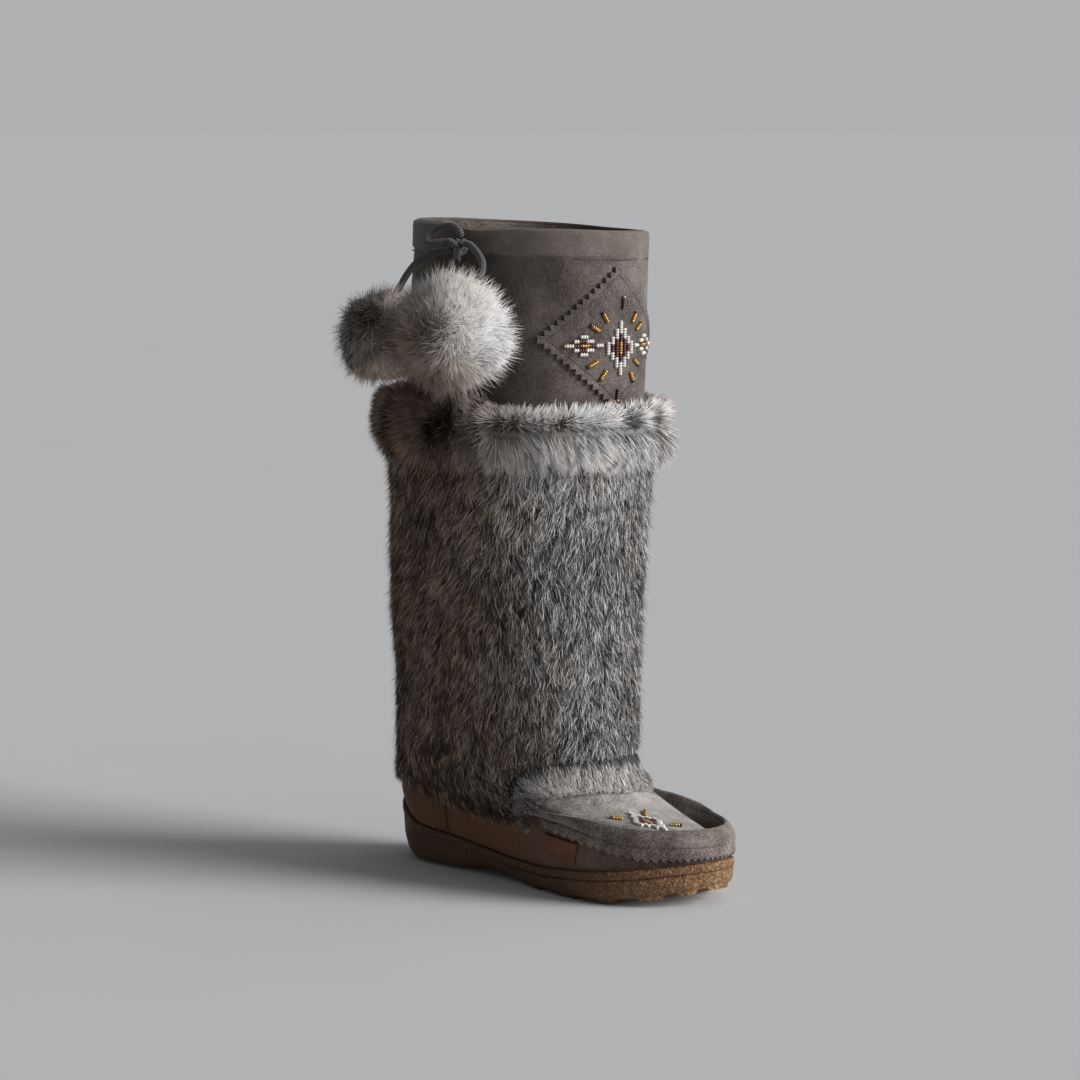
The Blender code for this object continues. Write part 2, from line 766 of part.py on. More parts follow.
def build_label(shape):
    grid = {}
    top_left, top_right, low_right, low_left = (Vector(corner) for corner in LABEL_CORNERS)
    for face, offset in ((0, GAP), (1, GAP + LABEL_THICKNESS)):
        for row in range(3):
            for place in range(LABEL_CELLS + 1):
                upper = top_left.lerp(top_right, place / LABEL_CELLS)
                lower = low_left.lerp(low_right, place / LABEL_CELLS)
                x, height = lower.lerp(upper, row / 2)
                turn = turn_on_outer_side(x, height)
                grid[face, row, place] = shape.verts.new(skin(turn, level_at(turn, height), offset))
    for face in (0, 1):
        for row in range(2):
            for place in range(LABEL_CELLS):
                corners = [(row, place), (row, place + 1), (row + 1, place + 1), (row + 1, place)]
                shape.faces.new([grid[face, x, y] for x, y in corners])
    rim = [(0, place) for place in range(LABEL_CELLS)] + [(0, LABEL_CELLS), (1, LABEL_CELLS)]
    rim += [(2, place) for place in range(LABEL_CELLS, -1, -1)] + [(1, 0)]
    for here, after in zip(rim, rim[1:] + rim[:1]):
        shape.faces.new((grid[0, *here], grid[0, *after], grid[1, *after], grid[1, *here]))


# Pompoms and drawcord


def build_pompom(centre, radius, tuft):
    def fill(shape):
        bmesh.ops.create_icosphere(shape, subdivisions=2, radius=radius)
        bmesh.ops.poke(shape, faces=shape.faces[:], offset=0.0)
        for vertex in shape.verts:
            pushed = radius + (tuft if len(vertex.link_faces) == 3 else -tuft * POMPOM_DIP)
            vertex.co = vertex.co.normalized() * pushed
        bmesh.ops.translate(shape, verts=shape.verts, vec=Vector(centre))

    return fill


def build_knot(shape):
    bmesh.ops.create_icosphere(shape, subdivisions=2, radius=1.0)
    for vertex in shape.verts:
        vertex.co = Vector(size * part for size, part in zip(KNOT_SIZES, vertex.co))
    bmesh.ops.translate(shape, verts=shape.verts, vec=Vector(KNOT_PLACE))


def smooth_route(points, spacing):
    """Evenly spaced points on a smooth curve through the points of a route."""
    dense = []
    for place in range(len(points) - 1):
        before = points[max(place - 1, 0)]
        start = points[place]
        end = points[place + 1]
        after = points[min(place + 2, len(points) - 1)]
        for step in range(ROUTE_DIVISIONS):
            dense.append(hermite(before, start, end, after, step / ROUTE_DIVISIONS))
    dense.append(points[-1])
    lengths = [0.0]
    for here, after in zip(dense, dense[1:]):
        lengths.append(lengths[-1] + (after - here).length)
    count = max(2, round(lengths[-1] / spacing))
    route = []
    for step in range(count + 1):
        wanted = lengths[-1] * step / count
        place = next(i for i in range(len(lengths)) if lengths[i] >= wanted - 0.0001)
        if place == 0:
            route.append(dense[0])
            continue
        share = (wanted - lengths[place - 1]) / (lengths[place] - lengths[place - 1])
        route.append(dense[place - 1].lerp(dense[place], share))
    return route


# Routes of the drawcord, chosen by hand
FRONT_STRAND = (
    (85.2, -77.6, 409.6),
    (92.4, -79.8, 408.8),
    (103.0, -83.6, 404.2),
    (111.0, -87.4, 398.9),
    (115.8, -92.5, 393.4),
    (116.6, -96.3, 389.4),
)
BACK_STRAND = (
    (73.8, -77.0, 405.6),
    (66.0, -77.8, 405.0),
    (58.6, -80.4, 403.6),
    (53.5, -85.6, 399.8),
    (48.5, -92.0, 391.0),
    (44.1, -98.7, 377.1),
)
LOOP = (
    (81.2, -77.0, 414.0),
    (79.3, -77.2, 417.6),
    (75.8, -77.5, 419.8),
    (71.6, -77.6, 420.4),
    (67.4, -77.6, 420.0),
    (63.2, -78.2, 419.0),
    (59.4, -80.0, 417.1),
    (57.5, -83.0, 414.4),
    (58.7, -86.0, 411.4),
    (62.4, -87.6, 409.6),
    (66.7, -87.3, 409.6),
    (70.8, -85.7, 410.2),
    (74.4, -83.4, 410.9),
)
TIP = (
    (81.6, -81.4, 405.8),
    (84.6, -84.0, 402.4),
    (86.8, -86.0, 398.8),
)


def cord(name, points, finish):
    route = smooth_route([Vector(point) for point in points], CORD_SPACING)
    curve = bpy.data.curves.new(name, "CURVE")
    curve.dimensions = "3D"
    curve.bevel_depth = CORD_RADIUS * MM
    curve.bevel_resolution = 2
    curve.use_fill_caps = True
    spline = curve.splines.new("POLY")
    spline.points.add(len(route) - 1)
    for target, point in zip(spline.points, route):
        target.co = (*(point * MM), 1.0)
    curve.materials.append(finish)
    thing = bpy.data.objects.new(name, curve)
    bpy.context.scene.collection.objects.link(thing)
    return thing


def main():
    clear_scene()
    rubber = material("crumb_rubber", (0.33, 0.16, 0.07), 0.8)
    suede = material("grey_suede", (0.19, 0.16, 0.145), 0.95)
    footbed = material("footbed_felt", (0.45, 0.40, 0.34), 0.95)
    fur = material("agouti_fur", (0.16, 0.15, 0.14), 0.9)
    pale_fur = material("pale_fur", (0.50, 0.48, 0.46), 0.9)
    dark_fur = material("dark_fur", (0.08, 0.07, 0.06), 0.9)
    label = material("tan_leather", (0.33, 0.14, 0.07), 0.6)
    braid = material("charcoal_braid", (0.05, 0.05, 0.06), 0.8)
    object_from("outsole", build_outsole, rubber)
    object_from("upper", build_upper, suede)
    object_from("insole", build_insole, footbed)
    object_from("toe_band", build_band, suede)
    object_from("vamp_plug", build_plug, suede)
    object_from("heel_counter", build_counter, suede)
    object_from("fur_sleeve", build_sleeve, fur)
    object_from("fur_cuff", build_cuff, fur)
    object_from("instep_fur", build_trim, fur)
    object_from("collar_patch", build_patch, suede)
    object_from("side_label", build_label, label)
    front = build_pompom(POMPOM_FRONT, POMPOM_FRONT_RADIUS, POMPOM_TUFT)
    back = build_pompom(POMPOM_BACK, POMPOM_BACK_RADIUS, POMPOM_TUFT)
    object_from("pompom_front", front, pale_fur)
    object_from("pompom_back", back, dark_fur)
    object_from("drawcord_knot", build_knot, braid)
    cord("drawcord_front", FRONT_STRAND, braid)
    cord("drawcord_back", BACK_STRAND, braid)
    cord("drawcord_loop", LOOP, braid)
    cord("drawcord_tip", TIP, braid)


main()
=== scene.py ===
import math
import re

import bpy
import numpy as np
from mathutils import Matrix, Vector


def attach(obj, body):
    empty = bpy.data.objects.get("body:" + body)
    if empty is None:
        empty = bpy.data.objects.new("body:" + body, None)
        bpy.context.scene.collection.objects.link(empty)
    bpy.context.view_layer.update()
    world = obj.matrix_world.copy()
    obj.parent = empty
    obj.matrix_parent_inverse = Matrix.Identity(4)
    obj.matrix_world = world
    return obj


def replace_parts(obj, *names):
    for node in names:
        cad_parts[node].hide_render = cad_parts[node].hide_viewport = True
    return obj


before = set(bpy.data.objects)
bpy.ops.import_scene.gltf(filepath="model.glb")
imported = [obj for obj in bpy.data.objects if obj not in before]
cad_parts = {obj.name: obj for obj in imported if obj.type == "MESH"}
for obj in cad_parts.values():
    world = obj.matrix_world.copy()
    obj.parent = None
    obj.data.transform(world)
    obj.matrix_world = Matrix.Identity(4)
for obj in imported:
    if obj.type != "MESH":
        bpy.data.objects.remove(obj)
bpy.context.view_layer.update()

# Sizes in millimetres, in the boot's own frame: toe +X, outer side -Y, up +Z
MM = 0.001
TAU = math.tau
COLUMNS = 352
RING = np.arange(COLUMNS) * TAU / COLUMNS
STEP = TAU / 44
UPRIGHT = np.array((0.0, 0.0, 1.0))
GAP = 0.3
SOLE_LENGTH = 265.0
HEEL_BACK = -45.0
COLLAR_HEIGHT = 420.0
UPPER_WALL = 2.2
SOLE_WALL = 3.0
LUG_DEPTH = 2.5
HEEL_ROUND = 0.13
TOE_ROUND = 0.21
SOLE_INSET = SOLE_WALL + GAP
EDGE_LIFT = 0.6
LEAN_LIMIT = 1.3
TINY = 1e-4

SOLE_COLUMNS = ("along", "half_width", "middle", "rim", "tread", "bed")
SOLE_ROWS = (
    (0.00, 33.0, 0.0, 42.0, 5.0, 20.0),
    (0.06, 33.0, 0.0, 35.5, 2.5, 19.0),
    (0.14, 33.0, 0.0, 26.0, 2.5, 18.0),
    (0.25, 31.5, -0.3, 22.8, 2.5, 16.0),
    (0.37, 31.5, 0.0, 19.0, 6.0, 12.5),
    (0.47, 35.0, 1.5, 16.4, 4.0, 10.0),
    (0.56, 40.5, 2.8, 16.4, 2.5, 8.5),
    (0.66, 44.5, 3.2, 18.2, 2.5, 8.0),
    (0.75, 45.5, 4.0, 20.2, 2.5, 8.5),
    (0.86, 43.0, 7.5, 23.5, 5.0, 11.0),
    (0.94, 41.0, 11.0, 26.6, 9.5, 15.0),
    (1.00, 40.0, 13.0, 29.0, 14.0, 19.0),
)
# Rows of the foot: blend towards the shaft, swell, and heights at the back, side, ball and toe
UPPER_ROWS = (
    (0.00, 1.6, 48.0, 24.0, 28.0, 36.5),
    (0.02, 1.8, 53.0, 30.0, 36.0, 42.0),
    (0.06, 1.6, 58.0, 37.0, 43.0, 44.5),
    (0.16, 1.2, 63.0, 44.0, 48.0, 44.6),
    (0.34, 0.8, 69.0, 51.0, 51.5, 45.4),
    (0.55, 0.4, 75.0, 58.0, 56.0, 47.6),
    (0.75, 0.2, 81.0, 65.0, 62.0, 52.0),
    (0.90, 0.0, 86.0, 73.0, 70.0, 59.5),
    (0.98, 0.0, 91.0, 82.0, 80.0, 71.5),
)
# How far the back, side, ball and toe face the toe
PLACE_SHARES = (-1.0, -0.1, 0.45, 1.0)
SHAFT_COLUMNS = ("height", "middle", "half_length", "half_width")
SHAFT_ROWS = (
    (95.0, 49.0, 89.0, 51.0),
    (130.0, 50.0, 86.0, 56.0),
    (165.0, 50.5, 84.0, 61.5),
    (205.0, 52.0, 82.0, 66.0),
    (245.0, 54.5, 81.0, 69.5),
    (283.5, 56.5, 80.5, 71.5),
    (320.0, 58.5, 80.0, 72.0),
    (360.0, 60.5, 79.0, 72.0),
    (401.0, 62.5, 78.0, 72.0),
    (403.5, 62.6, 79.0, 73.0),
    (417.5, 63.0, 79.0, 73.0),
    (COLLAR_HEIGHT, 63.0, 78.2, 72.2),
)
RIM_FALL_FORWARD = 0.030
RIM_FALL_INWARD = 0.034
RIM_FALL_START = 360.0
LAST_ROW = 1 + len(UPPER_ROWS) + len(SHAFT_ROWS)

SLEEVE_TOP = 280.0

# The fur's hem and trim, the toe band with its roll, and the vamp's hollow, each by how far a
# turn faces the toe: heights, lifts and depths
HEM_SHARES = (-1.0, -0.72, -0.53, -0.35, -0.10, 0.08, 0.20, 0.30, 0.55, 0.80, 1.0)
HEM_HEIGHTS = (54.0, 50.0, 46.0, 42.5, 39.0, 41.0, 49.0, 58.0, 76.0, 85.0, 87.0)
TRIM_SHARES = (0.30, 0.55, 0.80, 1.0)
TRIM_LOWS = (56.5, 58.0, 60.5, 62.0)
BAND_SHARES = (0.28, 0.45, 0.60, 0.80, 1.0)
BAND_SHOULDERS = (50.0, 46.5, 42.8, 39.3, 39.4)
BAND_EDGES = (43.5, 39.5, 35.6, 31.3, 32.4)
ROLL_LIFTS = (1.05, 1.05, 0.98, 0.70, 0.70)
PLUG_SINKS = (2.0, 6.0, 9.5, 9.5, 7.0)

# Where the window's light comes from
WINDOW_SIDE = (0.86, 0.46, 0.20)


# Curves and surfaces. A turn is an angle round the boot, in radians: 0 at the heel, pi at the toe,
# with the outer side between them. A level is a row of the upper and its fractions: 0 at the
# footbed, 1 at the sole's rim and LAST_ROW at the collar's top.


def hermite(start, end, lean_in, lean_out, t):
    """Between two values with a lean at each, for t from 0 to 1."""
    fade = (1 - t) ** 2
    leans = lean_in * (t * fade) - lean_out * (t * t * (1 - t))
    return start * ((1 + 2 * t) * fade) + end * (t * t * (3 - 2 * t)) + leans


def curve(places, values, at):
    """Monotone cubic curve through a short table, at an array of places."""
    places = np.asarray(places, float)
    values = np.asarray(values, float)
    at = np.clip(np.asarray(at, float), places[0], places[-1])
    steps = np.diff(values) / np.diff(places)
    slopes = np.concatenate([steps[:1], np.zeros(len(places) - 2), steps[-1:]])
    rising = steps[:-1] * steps[1:] > 0
    total = np.where(rising, steps[:-1] + steps[1:], 1.0)
    slopes[1:-1] = np.where(rising, 2 * steps[:-1] * steps[1:] / total, 0.0)
    k = np.clip(np.searchsorted(places, at, side="right") - 1, 0, len(places) - 2)
    width = places[k + 1] - places[k]
    t = (at - places[k]) / width
    return hermite(values[k], values[k + 1], width * slopes[k], width * slopes[k + 1], t)


def halved(low, high, passes, below):
    """Where a rising measure is reached between two arrays, by halving the span again and again."""
    for _ in range(passes):
        middle = (low + high) / 2
        short = below(middle)
        low = np.where(short, middle, low)
        high = np.where(short, high, middle)
    return (low + high) / 2


def column_value(rows, columns, name, at):
    """A named column of a table, as a curve over its first column."""
    places, values = ([row[columns.index(wanted)] for row in rows] for wanted in (columns[0], name))
    return curve(places, values, at)


def sole_value(name, along):
    return column_value(SOLE_ROWS, SOLE_COLUMNS, name, along)


def shaft_value(name, height):
    return column_value(SHAFT_ROWS, SHAFT_COLUMNS, name, height)


def along_at(turn):
    return (1 - np.cos(turn)) / 2


def facing(turn):
    """How far a turn faces the toe, from -1 at the heel to 1."""
    return -np.cos(turn)


def end_rounding(along):
    heel = np.sqrt(np.clip(1 - (1 - np.minimum(along, HEEL_ROUND) / HEEL_ROUND) ** 2, 0, 1))
    reach = np.maximum(along - 1 + TOE_ROUND, 0) / TOE_ROUND
    toe = np.sqrt(np.clip(1 - reach**2, 0, 1))
    return np.where(along < HEEL_ROUND, heel, toe)


def outline_point(turn):
    """Points of the sole's outline, flat on the floor."""
    along = along_at(turn)
    side = np.where(np.mod(turn, TAU) < math.pi, -1.0, 1.0)
    across = sole_value("middle", along) + side * sole_value("half_width", along) * end_rounding(along)
    return np.stack([HEEL_BACK + SOLE_LENGTH * along, across, 0 * along], -1)


def unit(vectors):
    return vectors / np.maximum(np.linalg.norm(vectors, axis=-1, keepdims=True), 1e-9)


def outline(turn, inset):
    """Points of the outline moved inwards."""
    run = outline_point(turn + 0.01) - outline_point(turn - 0.01)
    outward = unit(np.stack([run[..., 1], -run[..., 0], 0 * run[..., 0]], -1))
    return outline_point(turn) - outward * np.asarray(inset)[..., None]


def outline_at(turn, inset, height):
    point = outline(turn, inset + 0 * turn)
    point[..., 2] = height
    return point


def shaft_point(turn, height):
    x = shaft_value("middle", height) - shaft_value("half_length", height) * np.cos(turn)
    y = -shaft_value("half_width", height) * np.sin(turn)
    fall = RIM_FALL_FORWARD * (x - SHAFT_ROWS[-1][1]) + RIM_FALL_INWARD * y
    share = np.clip((height - RIM_FALL_START) / (COLLAR_HEIGHT - RIM_FALL_START), 0, 1)
    return np.stack([x, y, height - fall * share], -1)


def skin_rows(turn):
    """The upper's rows of points, from the footbed to the collar's top."""
    along = along_at(turn)
    heights = (sole_value("bed", along) + EDGE_LIFT, sole_value("rim", along))
    rows = [outline_at(turn, SOLE_INSET, height) for height in heights]
    target = shaft_point(turn, SHAFT_ROWS[0][0] + 0 * turn)
    for blend, swell, *heights in UPPER_ROWS:
        point = outline(turn, SOLE_INSET - swell + 0 * turn) * (1 - blend) + target * blend
        point[..., 2] = curve(PLACE_SHARES, heights, facing(turn))
        rows.append(point)
    rows += [shaft_point(turn, row[0] + 0 * turn) for row in SHAFT_ROWS]
    return np.stack(rows, 1)


ROWS = skin_rows(RING)


def on_column(column, level):
    """Points up the columns of ROWS, on a smooth curve that leans less where rows are close."""
    low = np.clip(level.astype(int), 0, LAST_ROW - 1)
    start = ROWS[column, low]
    end = ROWS[column, low + 1]
    before = ROWS[column, np.maximum(low - 1, 0)]
    after = ROWS[column, np.minimum(low + 2, LAST_ROW)]
    reach = np.linalg.norm(end - start, axis=1, keepdims=True) * LEAN_LIMIT
    leans = []
    for lean in ((end - before) / 2, (after - start) / 2):
        size = np.linalg.norm(lean, axis=1, keepdims=True)
        leans.append(lean * np.minimum(1, reach / np.maximum(size, TINY)))
    return hermite(start, end, *leans, (level - low)[:, None])


def skin_point(turn, level):
    """Points of the upper's outer surface, for arrays of turn and level."""
    level = np.clip(level, 0, LAST_ROW)
    place = np.mod(turn, TAU) / TAU * COLUMNS
    column = place.astype(int) % COLUMNS
    share = (place - np.floor(place))[:, None]
    return on_column(column, level) * (1 - share) + on_column((column + 1) % COLUMNS, level) * share


def skin_frame(turn, level):
    """Point, outward normal, and downward direction along the surface."""
    around = skin_point(turn + 0.02, level) - skin_point(turn - 0.02, level)
    upward = skin_point(turn, level + 0.15) - skin_point(turn, level - 0.15)
    return skin_point(turn, level), unit(np.cross(around, upward)), unit(-upward)


def skin(turn, level, offset):
    """Points of the upper's surface moved outwards by an offset."""
    turn, level, offset = (np.asarray(v, float) for v in (turn, level, offset))
    turn, level, offset = np.broadcast_arrays(turn, level, offset)
    shape = turn.shape
    point, normal, _ = skin_frame(turn.ravel(), level.ravel())
    return (point + normal * offset.ravel()[:, None]).reshape(*shape, 3)


def level_at(turn, height):
    """Level at which the upper's surface reaches a height, above the sole's rim."""
    turn, height = np.broadcast_arrays(np.asarray(turn, float), np.asarray(height, float))
    turns = turn.ravel()
    heights = height.ravel()
    low = np.full(turn.size, 1.0)
    high = np.full(turn.size, float(LAST_ROW))
    level = halved(low, high, 16, lambda here: skin_point(turns, here)[:, 2] < heights)
    return level.reshape(turn.shape)


def level_beyond(turn, level, reach):
    """Level at which the surface has run a distance upwards from a level."""
    start = skin_point(turn, level)
    high = np.minimum(level + 8.0, LAST_ROW)

    def near(here):
        return np.linalg.norm(skin_point(turn, here) - start, axis=1) < reach

    return halved(level, high, 14, near)


def hem_height(turn):
    return curve(HEM_SHARES, HEM_HEIGHTS, facing(turn))


def band_value(values, turn):
    """A value of the toe band's tables, by how far a turn faces the toe."""
    return curve(BAND_SHARES, values, facing(turn))


def shoulder_level(turn):
    return level_at(turn, band_value(BAND_SHOULDERS, turn))


def zigzag(place):
    """From -1 at whole numbers to 1 halfway between them."""
    return 1 - 2 * np.abs(np.mod(place, 1) * 2 - 1)


def smooth_step(low, high, value):
    t = np.clip((value - low) / (high - low), 0, 1)
    return t * t * (3 - 2 * t)


def lattice(i, j, seed):
    value = np.sin(i * 127.1 + j * 311.7 + seed * 74.7) * 43758.5453
    return value - np.floor(value)


def noise(x, y, seed):
    """Smooth noise from 0 to 1, one bump to a unit."""
    i = np.floor(x)
    j = np.floor(y)
    u = smooth_step(0, 1, x - i)
    v = smooth_step(0, 1, y - j)
    low = lattice(i, j, seed) * (1 - u) + lattice(i + 1, j, seed) * u
    high = lattice(i, j + 1, seed) * (1 - u) + lattice(i + 1, j + 1, seed) * u
    return low * (1 - v) + high * v


# Meshes


def mesh_piece(name, points, faces, finish, sharp):
    """A piece from points in millimetres and faces of 3 or 4 corners, riding on the boot."""
    points = np.asarray(points, float).reshape(-1, 3) * MM
    faces = np.asarray(faces, np.int32)
    corners = faces.shape[1]
    mesh = bpy.data.meshes.new(name)
    mesh.vertices.add(len(points))
    mesh.vertices.foreach_set("co", points.ravel())
    mesh.loops.add(faces.size)
    mesh.loops.foreach_set("vertex_index", faces.ravel())
    mesh.polygons.add(len(faces))
    mesh.polygons.foreach_set("loop_start", np.arange(0, faces.size, corners, dtype=np.int32))
    mesh.update(calc_edges=True)
    mesh.validate()
    mesh.shade_smooth()
    if sharp:
        mesh.set_sharp_from_angle(angle=math.radians(sharp))
    mesh.materials.append(finish)
    piece = bpy.data.objects.new(name, mesh)
    bpy.context.scene.collection.objects.link(piece)
    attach(piece, "root")
    return piece


def grid_faces(rows, columns, close_rows, close_columns):
    r = np.arange(rows if close_rows else rows - 1)
    c = np.arange(columns if close_columns else columns - 1)
    a, b = np.meshgrid(r, c, indexing="ij")
    a2 = (a + 1) % rows
    b2 = (b + 1) % columns
    quads = np.stack([a * columns + b, a2 * columns + b, a2 * columns + b2, a * columns + b2], -1)
    return quads.reshape(-1, 4)


def as_triangles(quads):
    return np.vstack([quads[:, (0, 1, 2)], quads[:, (0, 2, 3)]])


def turned_out(piece):
    """Turn a closed mesh's faces outwards if they face inwards."""
    mesh = piece.data
    mesh.calc_loop_triangles()
    corners = np.empty(len(mesh.loop_triangles) * 3, np.int32)
    mesh.loop_triangles.foreach_get("vertices", corners)
    points = np.empty(len(mesh.vertices) * 3, np.float32)
    mesh.vertices.foreach_get("co", points)
    a, b, c = points.reshape(-1, 3)[corners.reshape(-1, 3)].transpose(1, 0, 2).astype(float)
    if np.einsum("ij,ij->i", a, np.cross(b, c)).sum() < 0:
        mesh.flip_normals()
    return piece


def solid(name, points, faces, finish, sharp):
    return turned_out(mesh_piece(name, points, faces, finish, sharp))


def swept(name, sections, closed, finish, sharp):
    """A closed surface through cross-sections, an array of sections by ring points by 3."""
    sections = np.asarray(sections, float)
    rows, columns = sections.shape[:2]
    points = sections.reshape(-1, 3)
    quads = grid_faces(rows, columns, closed, True)
    if closed:
        return solid(name, points, quads, finish, sharp)
    faces = [as_triangles(quads)]
    for first, way in ((0, 1), ((rows - 1) * columns, -1)):
        ring = first + np.arange(columns)
        hub = np.full(columns, len(points))
        faces.append(np.stack([hub, *(ring, np.roll(ring, -1))[::way]], -1))
        points = np.vstack([points, points[ring].mean(0)])
    return solid(name, points, np.vstack(faces), finish, sharp)


def plate(name, cells, top, under, finish):
    """A thin square piece between a net of points and the same net under it."""
    number = np.arange((cells + 1) ** 2).reshape(cells + 1, -1)
    quads = grid_faces(cells + 1, cells + 1, False, False)
    rim = np.concatenate([number[0, :-1], number[:-1, -1], number[-1, :0:-1], number[:0:-1, 0]])
    after = np.roll(rim, -1)
    wall = np.stack([rim, after, after + number.size, rim + number.size], -1)
    points = np.vstack([top.reshape(-1, 3), under.reshape(-1, 3)])
    faces = np.vstack([quads[:, ::-1], quads + number.size, wall])
    return solid(name, points, faces, finish, 50.0)


def spindles(name, low, high, side, up, profile, radius, sides, finish, sharp):
    """Small round solids joined in one mesh, each on its own axis from a low end to a high one."""
    angle = np.arange(sides) * TAU / sides
    spoke = side[:, None] * np.cos(angle)[None, :, None] + up[:, None] * np.sin(angle)[None, :, None]
    rings = [(low * (1 - place) + high * place)[:, None] + spoke * radius * size for place, size in profile]
    points = np.stack(rings, 1).reshape(len(low), -1, 3)
    step = np.arange(1, sides - 1)
    cap = np.stack([step, step + 1, 0 * step], -1)
    far_cap = cap[:, ::-1] + (len(profile) - 1) * sides
    local = np.vstack([as_triangles(grid_faces(len(profile), sides, False, True)), cap, far_cap])
    faces = local[None] + np.arange(len(low))[:, None, None] * points.shape[1]
    return solid(name, points, faces.reshape(-1, 3), finish, sharp)


# Materials


class Graph:
    """Nodes of a material or a world, all fed by one kind of coordinate."""

    def __init__(self, tree, coordinate):
        self.tree = tree
        self.where = tree.nodes.new("ShaderNodeTexCoord").outputs[coordinate]

    def put(self, socket, value):
        """Link a value into a socket, or set it there. A colour has three numbers."""
        if isinstance(value, bpy.types.NodeSocket):
            self.tree.links.new(value, socket)
        elif socket.type == "RGBA":
            socket.default_value = (*value, 1.0)
        else:
            socket.default_value = value

    def node(self, kind, **inputs):
        made = self.tree.nodes.new(kind)
        for name, value in inputs.items():
            self.put(made.inputs[name.replace("_", " ")], value)
        return made

    def noise(self, scale, detail=3.0, rough=0.5):
        made = self.node("ShaderNodeTexNoise", Vector=self.where, Scale=scale, Detail=detail, Roughness=rough)
        return made.outputs["Fac"]

    def cells(self, scale, output="Distance"):
        return self.node("ShaderNodeTexVoronoi", Vector=self.where, Scale=scale).outputs[output]

    def attribute(self, name, output):
        made = self.node("ShaderNodeAttribute")
        made.attribute_name = name
        return made.outputs[output]

    def ramp(self, value, *stops):
        made = self.node("ShaderNodeValToRGB", Fac=value)
        elements = made.color_ramp.elements
        while len(elements) < len(stops):
            elements.new(0.5)
        for element, (place, colour) in zip(elements, stops):
            element.position = place
            element.color = (*colour, 1.0)
        return made.outputs["Color"]

    def span(self, value, low, high, to_low=0.0, to_high=1.0):
        ends = dict(From_Min=low, From_Max=high, To_Min=to_low, To_Max=to_high)
        return self.node("ShaderNodeMapRange", Value=value, **ends).outputs["Result"]

    def mix(self, share, first, second):
        made = self.node("ShaderNodeMix")
        made.data_type = "RGBA"
        for place, value in ((0, share), (6, first), (7, second)):
            self.put(made.inputs[place], value)
        return made.outputs[2]

    def maths(self, operation, first, second):
        made = self.node("ShaderNodeMath")
        made.operation = operation
        self.put(made.inputs[0], first)
        self.put(made.inputs[1], second)
        return made.outputs[0]

    def blend(self, *parts):
        """Sum of values, each times its share."""
        products = [self.maths("MULTIPLY", value, share) for value, share in parts]
        total = products[0]
        for product in products[1:]:
            total = self.maths("ADD", total, product)
        return total

    def axis(self, name):
        return self.node("ShaderNodeSeparateXYZ", Vector=self.where).outputs[name]

    def towards(self, direction):
        """How far a place lies in a direction."""
        made = self.node("ShaderNodeVectorMath", Vector=self.where)
        made.operation = "DOT_PRODUCT"
        made.inputs[1].default_value = direction
        return made.outputs["Value"]


class Paint(Graph):
    """A material of nodes around one shader, with object coordinates in metres."""

    def __init__(self, name, roughness, **sockets):
        self.material = bpy.data.materials.new(name)
        self.material.use_nodes = True
        super().__init__(self.material.node_tree, "Object")
        self.shader = self.tree.nodes["Principled BSDF"]
        for socket, value in dict(sockets, Roughness=roughness).items():
            self.put(self.shader.inputs[socket.replace("_", " ")], value)

    def colour(self, value):
        self.put(self.shader.inputs["Base Color"], value)

    def bump(self, height, strength, distance_mm):
        """Add a bump on top of those that the shader has."""
        made = self.node("ShaderNodeBump", Height=height, Strength=strength, Distance=distance_mm * MM)
        normal = self.shader.inputs["Normal"]
        if normal.is_linked:
            self.put(made.inputs["Normal"], normal.links[0].from_socket)
        self.put(normal, made.outputs["Normal"])


# Directions and tones of the suede: towards the window over the floor, painted shade away
# from the window, painted light at the collar's top, and a browner tint low at the heel
WINDOW_ALONG = (0.7, 0.7, 0.0)
SUEDE_SHADE = (0.046, 0.036, 0.030)
COLLAR_PAINTED_LIGHT = (0.20, 0.172, 0.157)
WARM_TONE = (0.150, 0.072, 0.038)


def suede(name, light, dark, warmth_and_painted_light, depth):
    """Brushed nap: broad light and dark patches, speckled fibres and a pale dull sheen."""
    paint = Paint(name, 0.95, Sheen_Weight=0.35, Sheen_Roughness=0.35, Specular_IOR_Level=0.12)
    broad = paint.noise(22.0, 2.0, 0.5)
    brushed = paint.noise(110.0, 3.0, 0.6)
    nap = paint.noise(820.0, 3.0, 0.85)
    fibres = paint.noise(2400.0, 2.0, 0.6)
    patches = paint.blend((broad, 0.30), (brushed, 0.20), (nap, 0.50))
    darker = tuple(value * (1 - 0.5 * depth) for value in dark)
    paler = tuple(value * (1 + 0.6 * depth) for value in light)
    colour = paint.ramp(patches, (0.38, darker), (0.47, dark), (0.53, light), (0.63, paler))
    if warmth_and_painted_light:
        height = paint.axis("Z")
        # Painted shade: the upper darkens away from the window.
        shade = paint.span(paint.towards(WINDOW_ALONG), 0.092, 0.040, 0.0, 0.64)
        colour = paint.mix(shade, colour, SUEDE_SHADE)
        # Painted light: a paler band at the collar's top, where the nap catches the light.
        colour = paint.mix(paint.span(height, 0.400, 0.405, 0.0, 0.35), colour, COLLAR_PAINTED_LIGHT)
        back = paint.span(paint.axis("X"), 0.09, 0.19, 1.0, 0.12)
        low = paint.maths("MULTIPLY", paint.span(height, 0.035, 0.070, 1.0, 0.0), back)
        colour = paint.mix(paint.maths("MULTIPLY", low, warmth_and_painted_light), colour, WARM_TONE)
    paint.colour(colour)
    paint.bump(fibres, 0.5, 0.3)
    paint.bump(nap, 0.8, 0.65)
    paint.bump(brushed, 0.35, 0.9)
    return paint.material


RUBBER_TONES = (
    (0.24, (0.062, 0.023, 0.007)),
    (0.42, (0.178, 0.086, 0.035)),
    (0.58, (0.290, 0.155, 0.068)),
    (0.74, (0.52, 0.32, 0.165)),
)


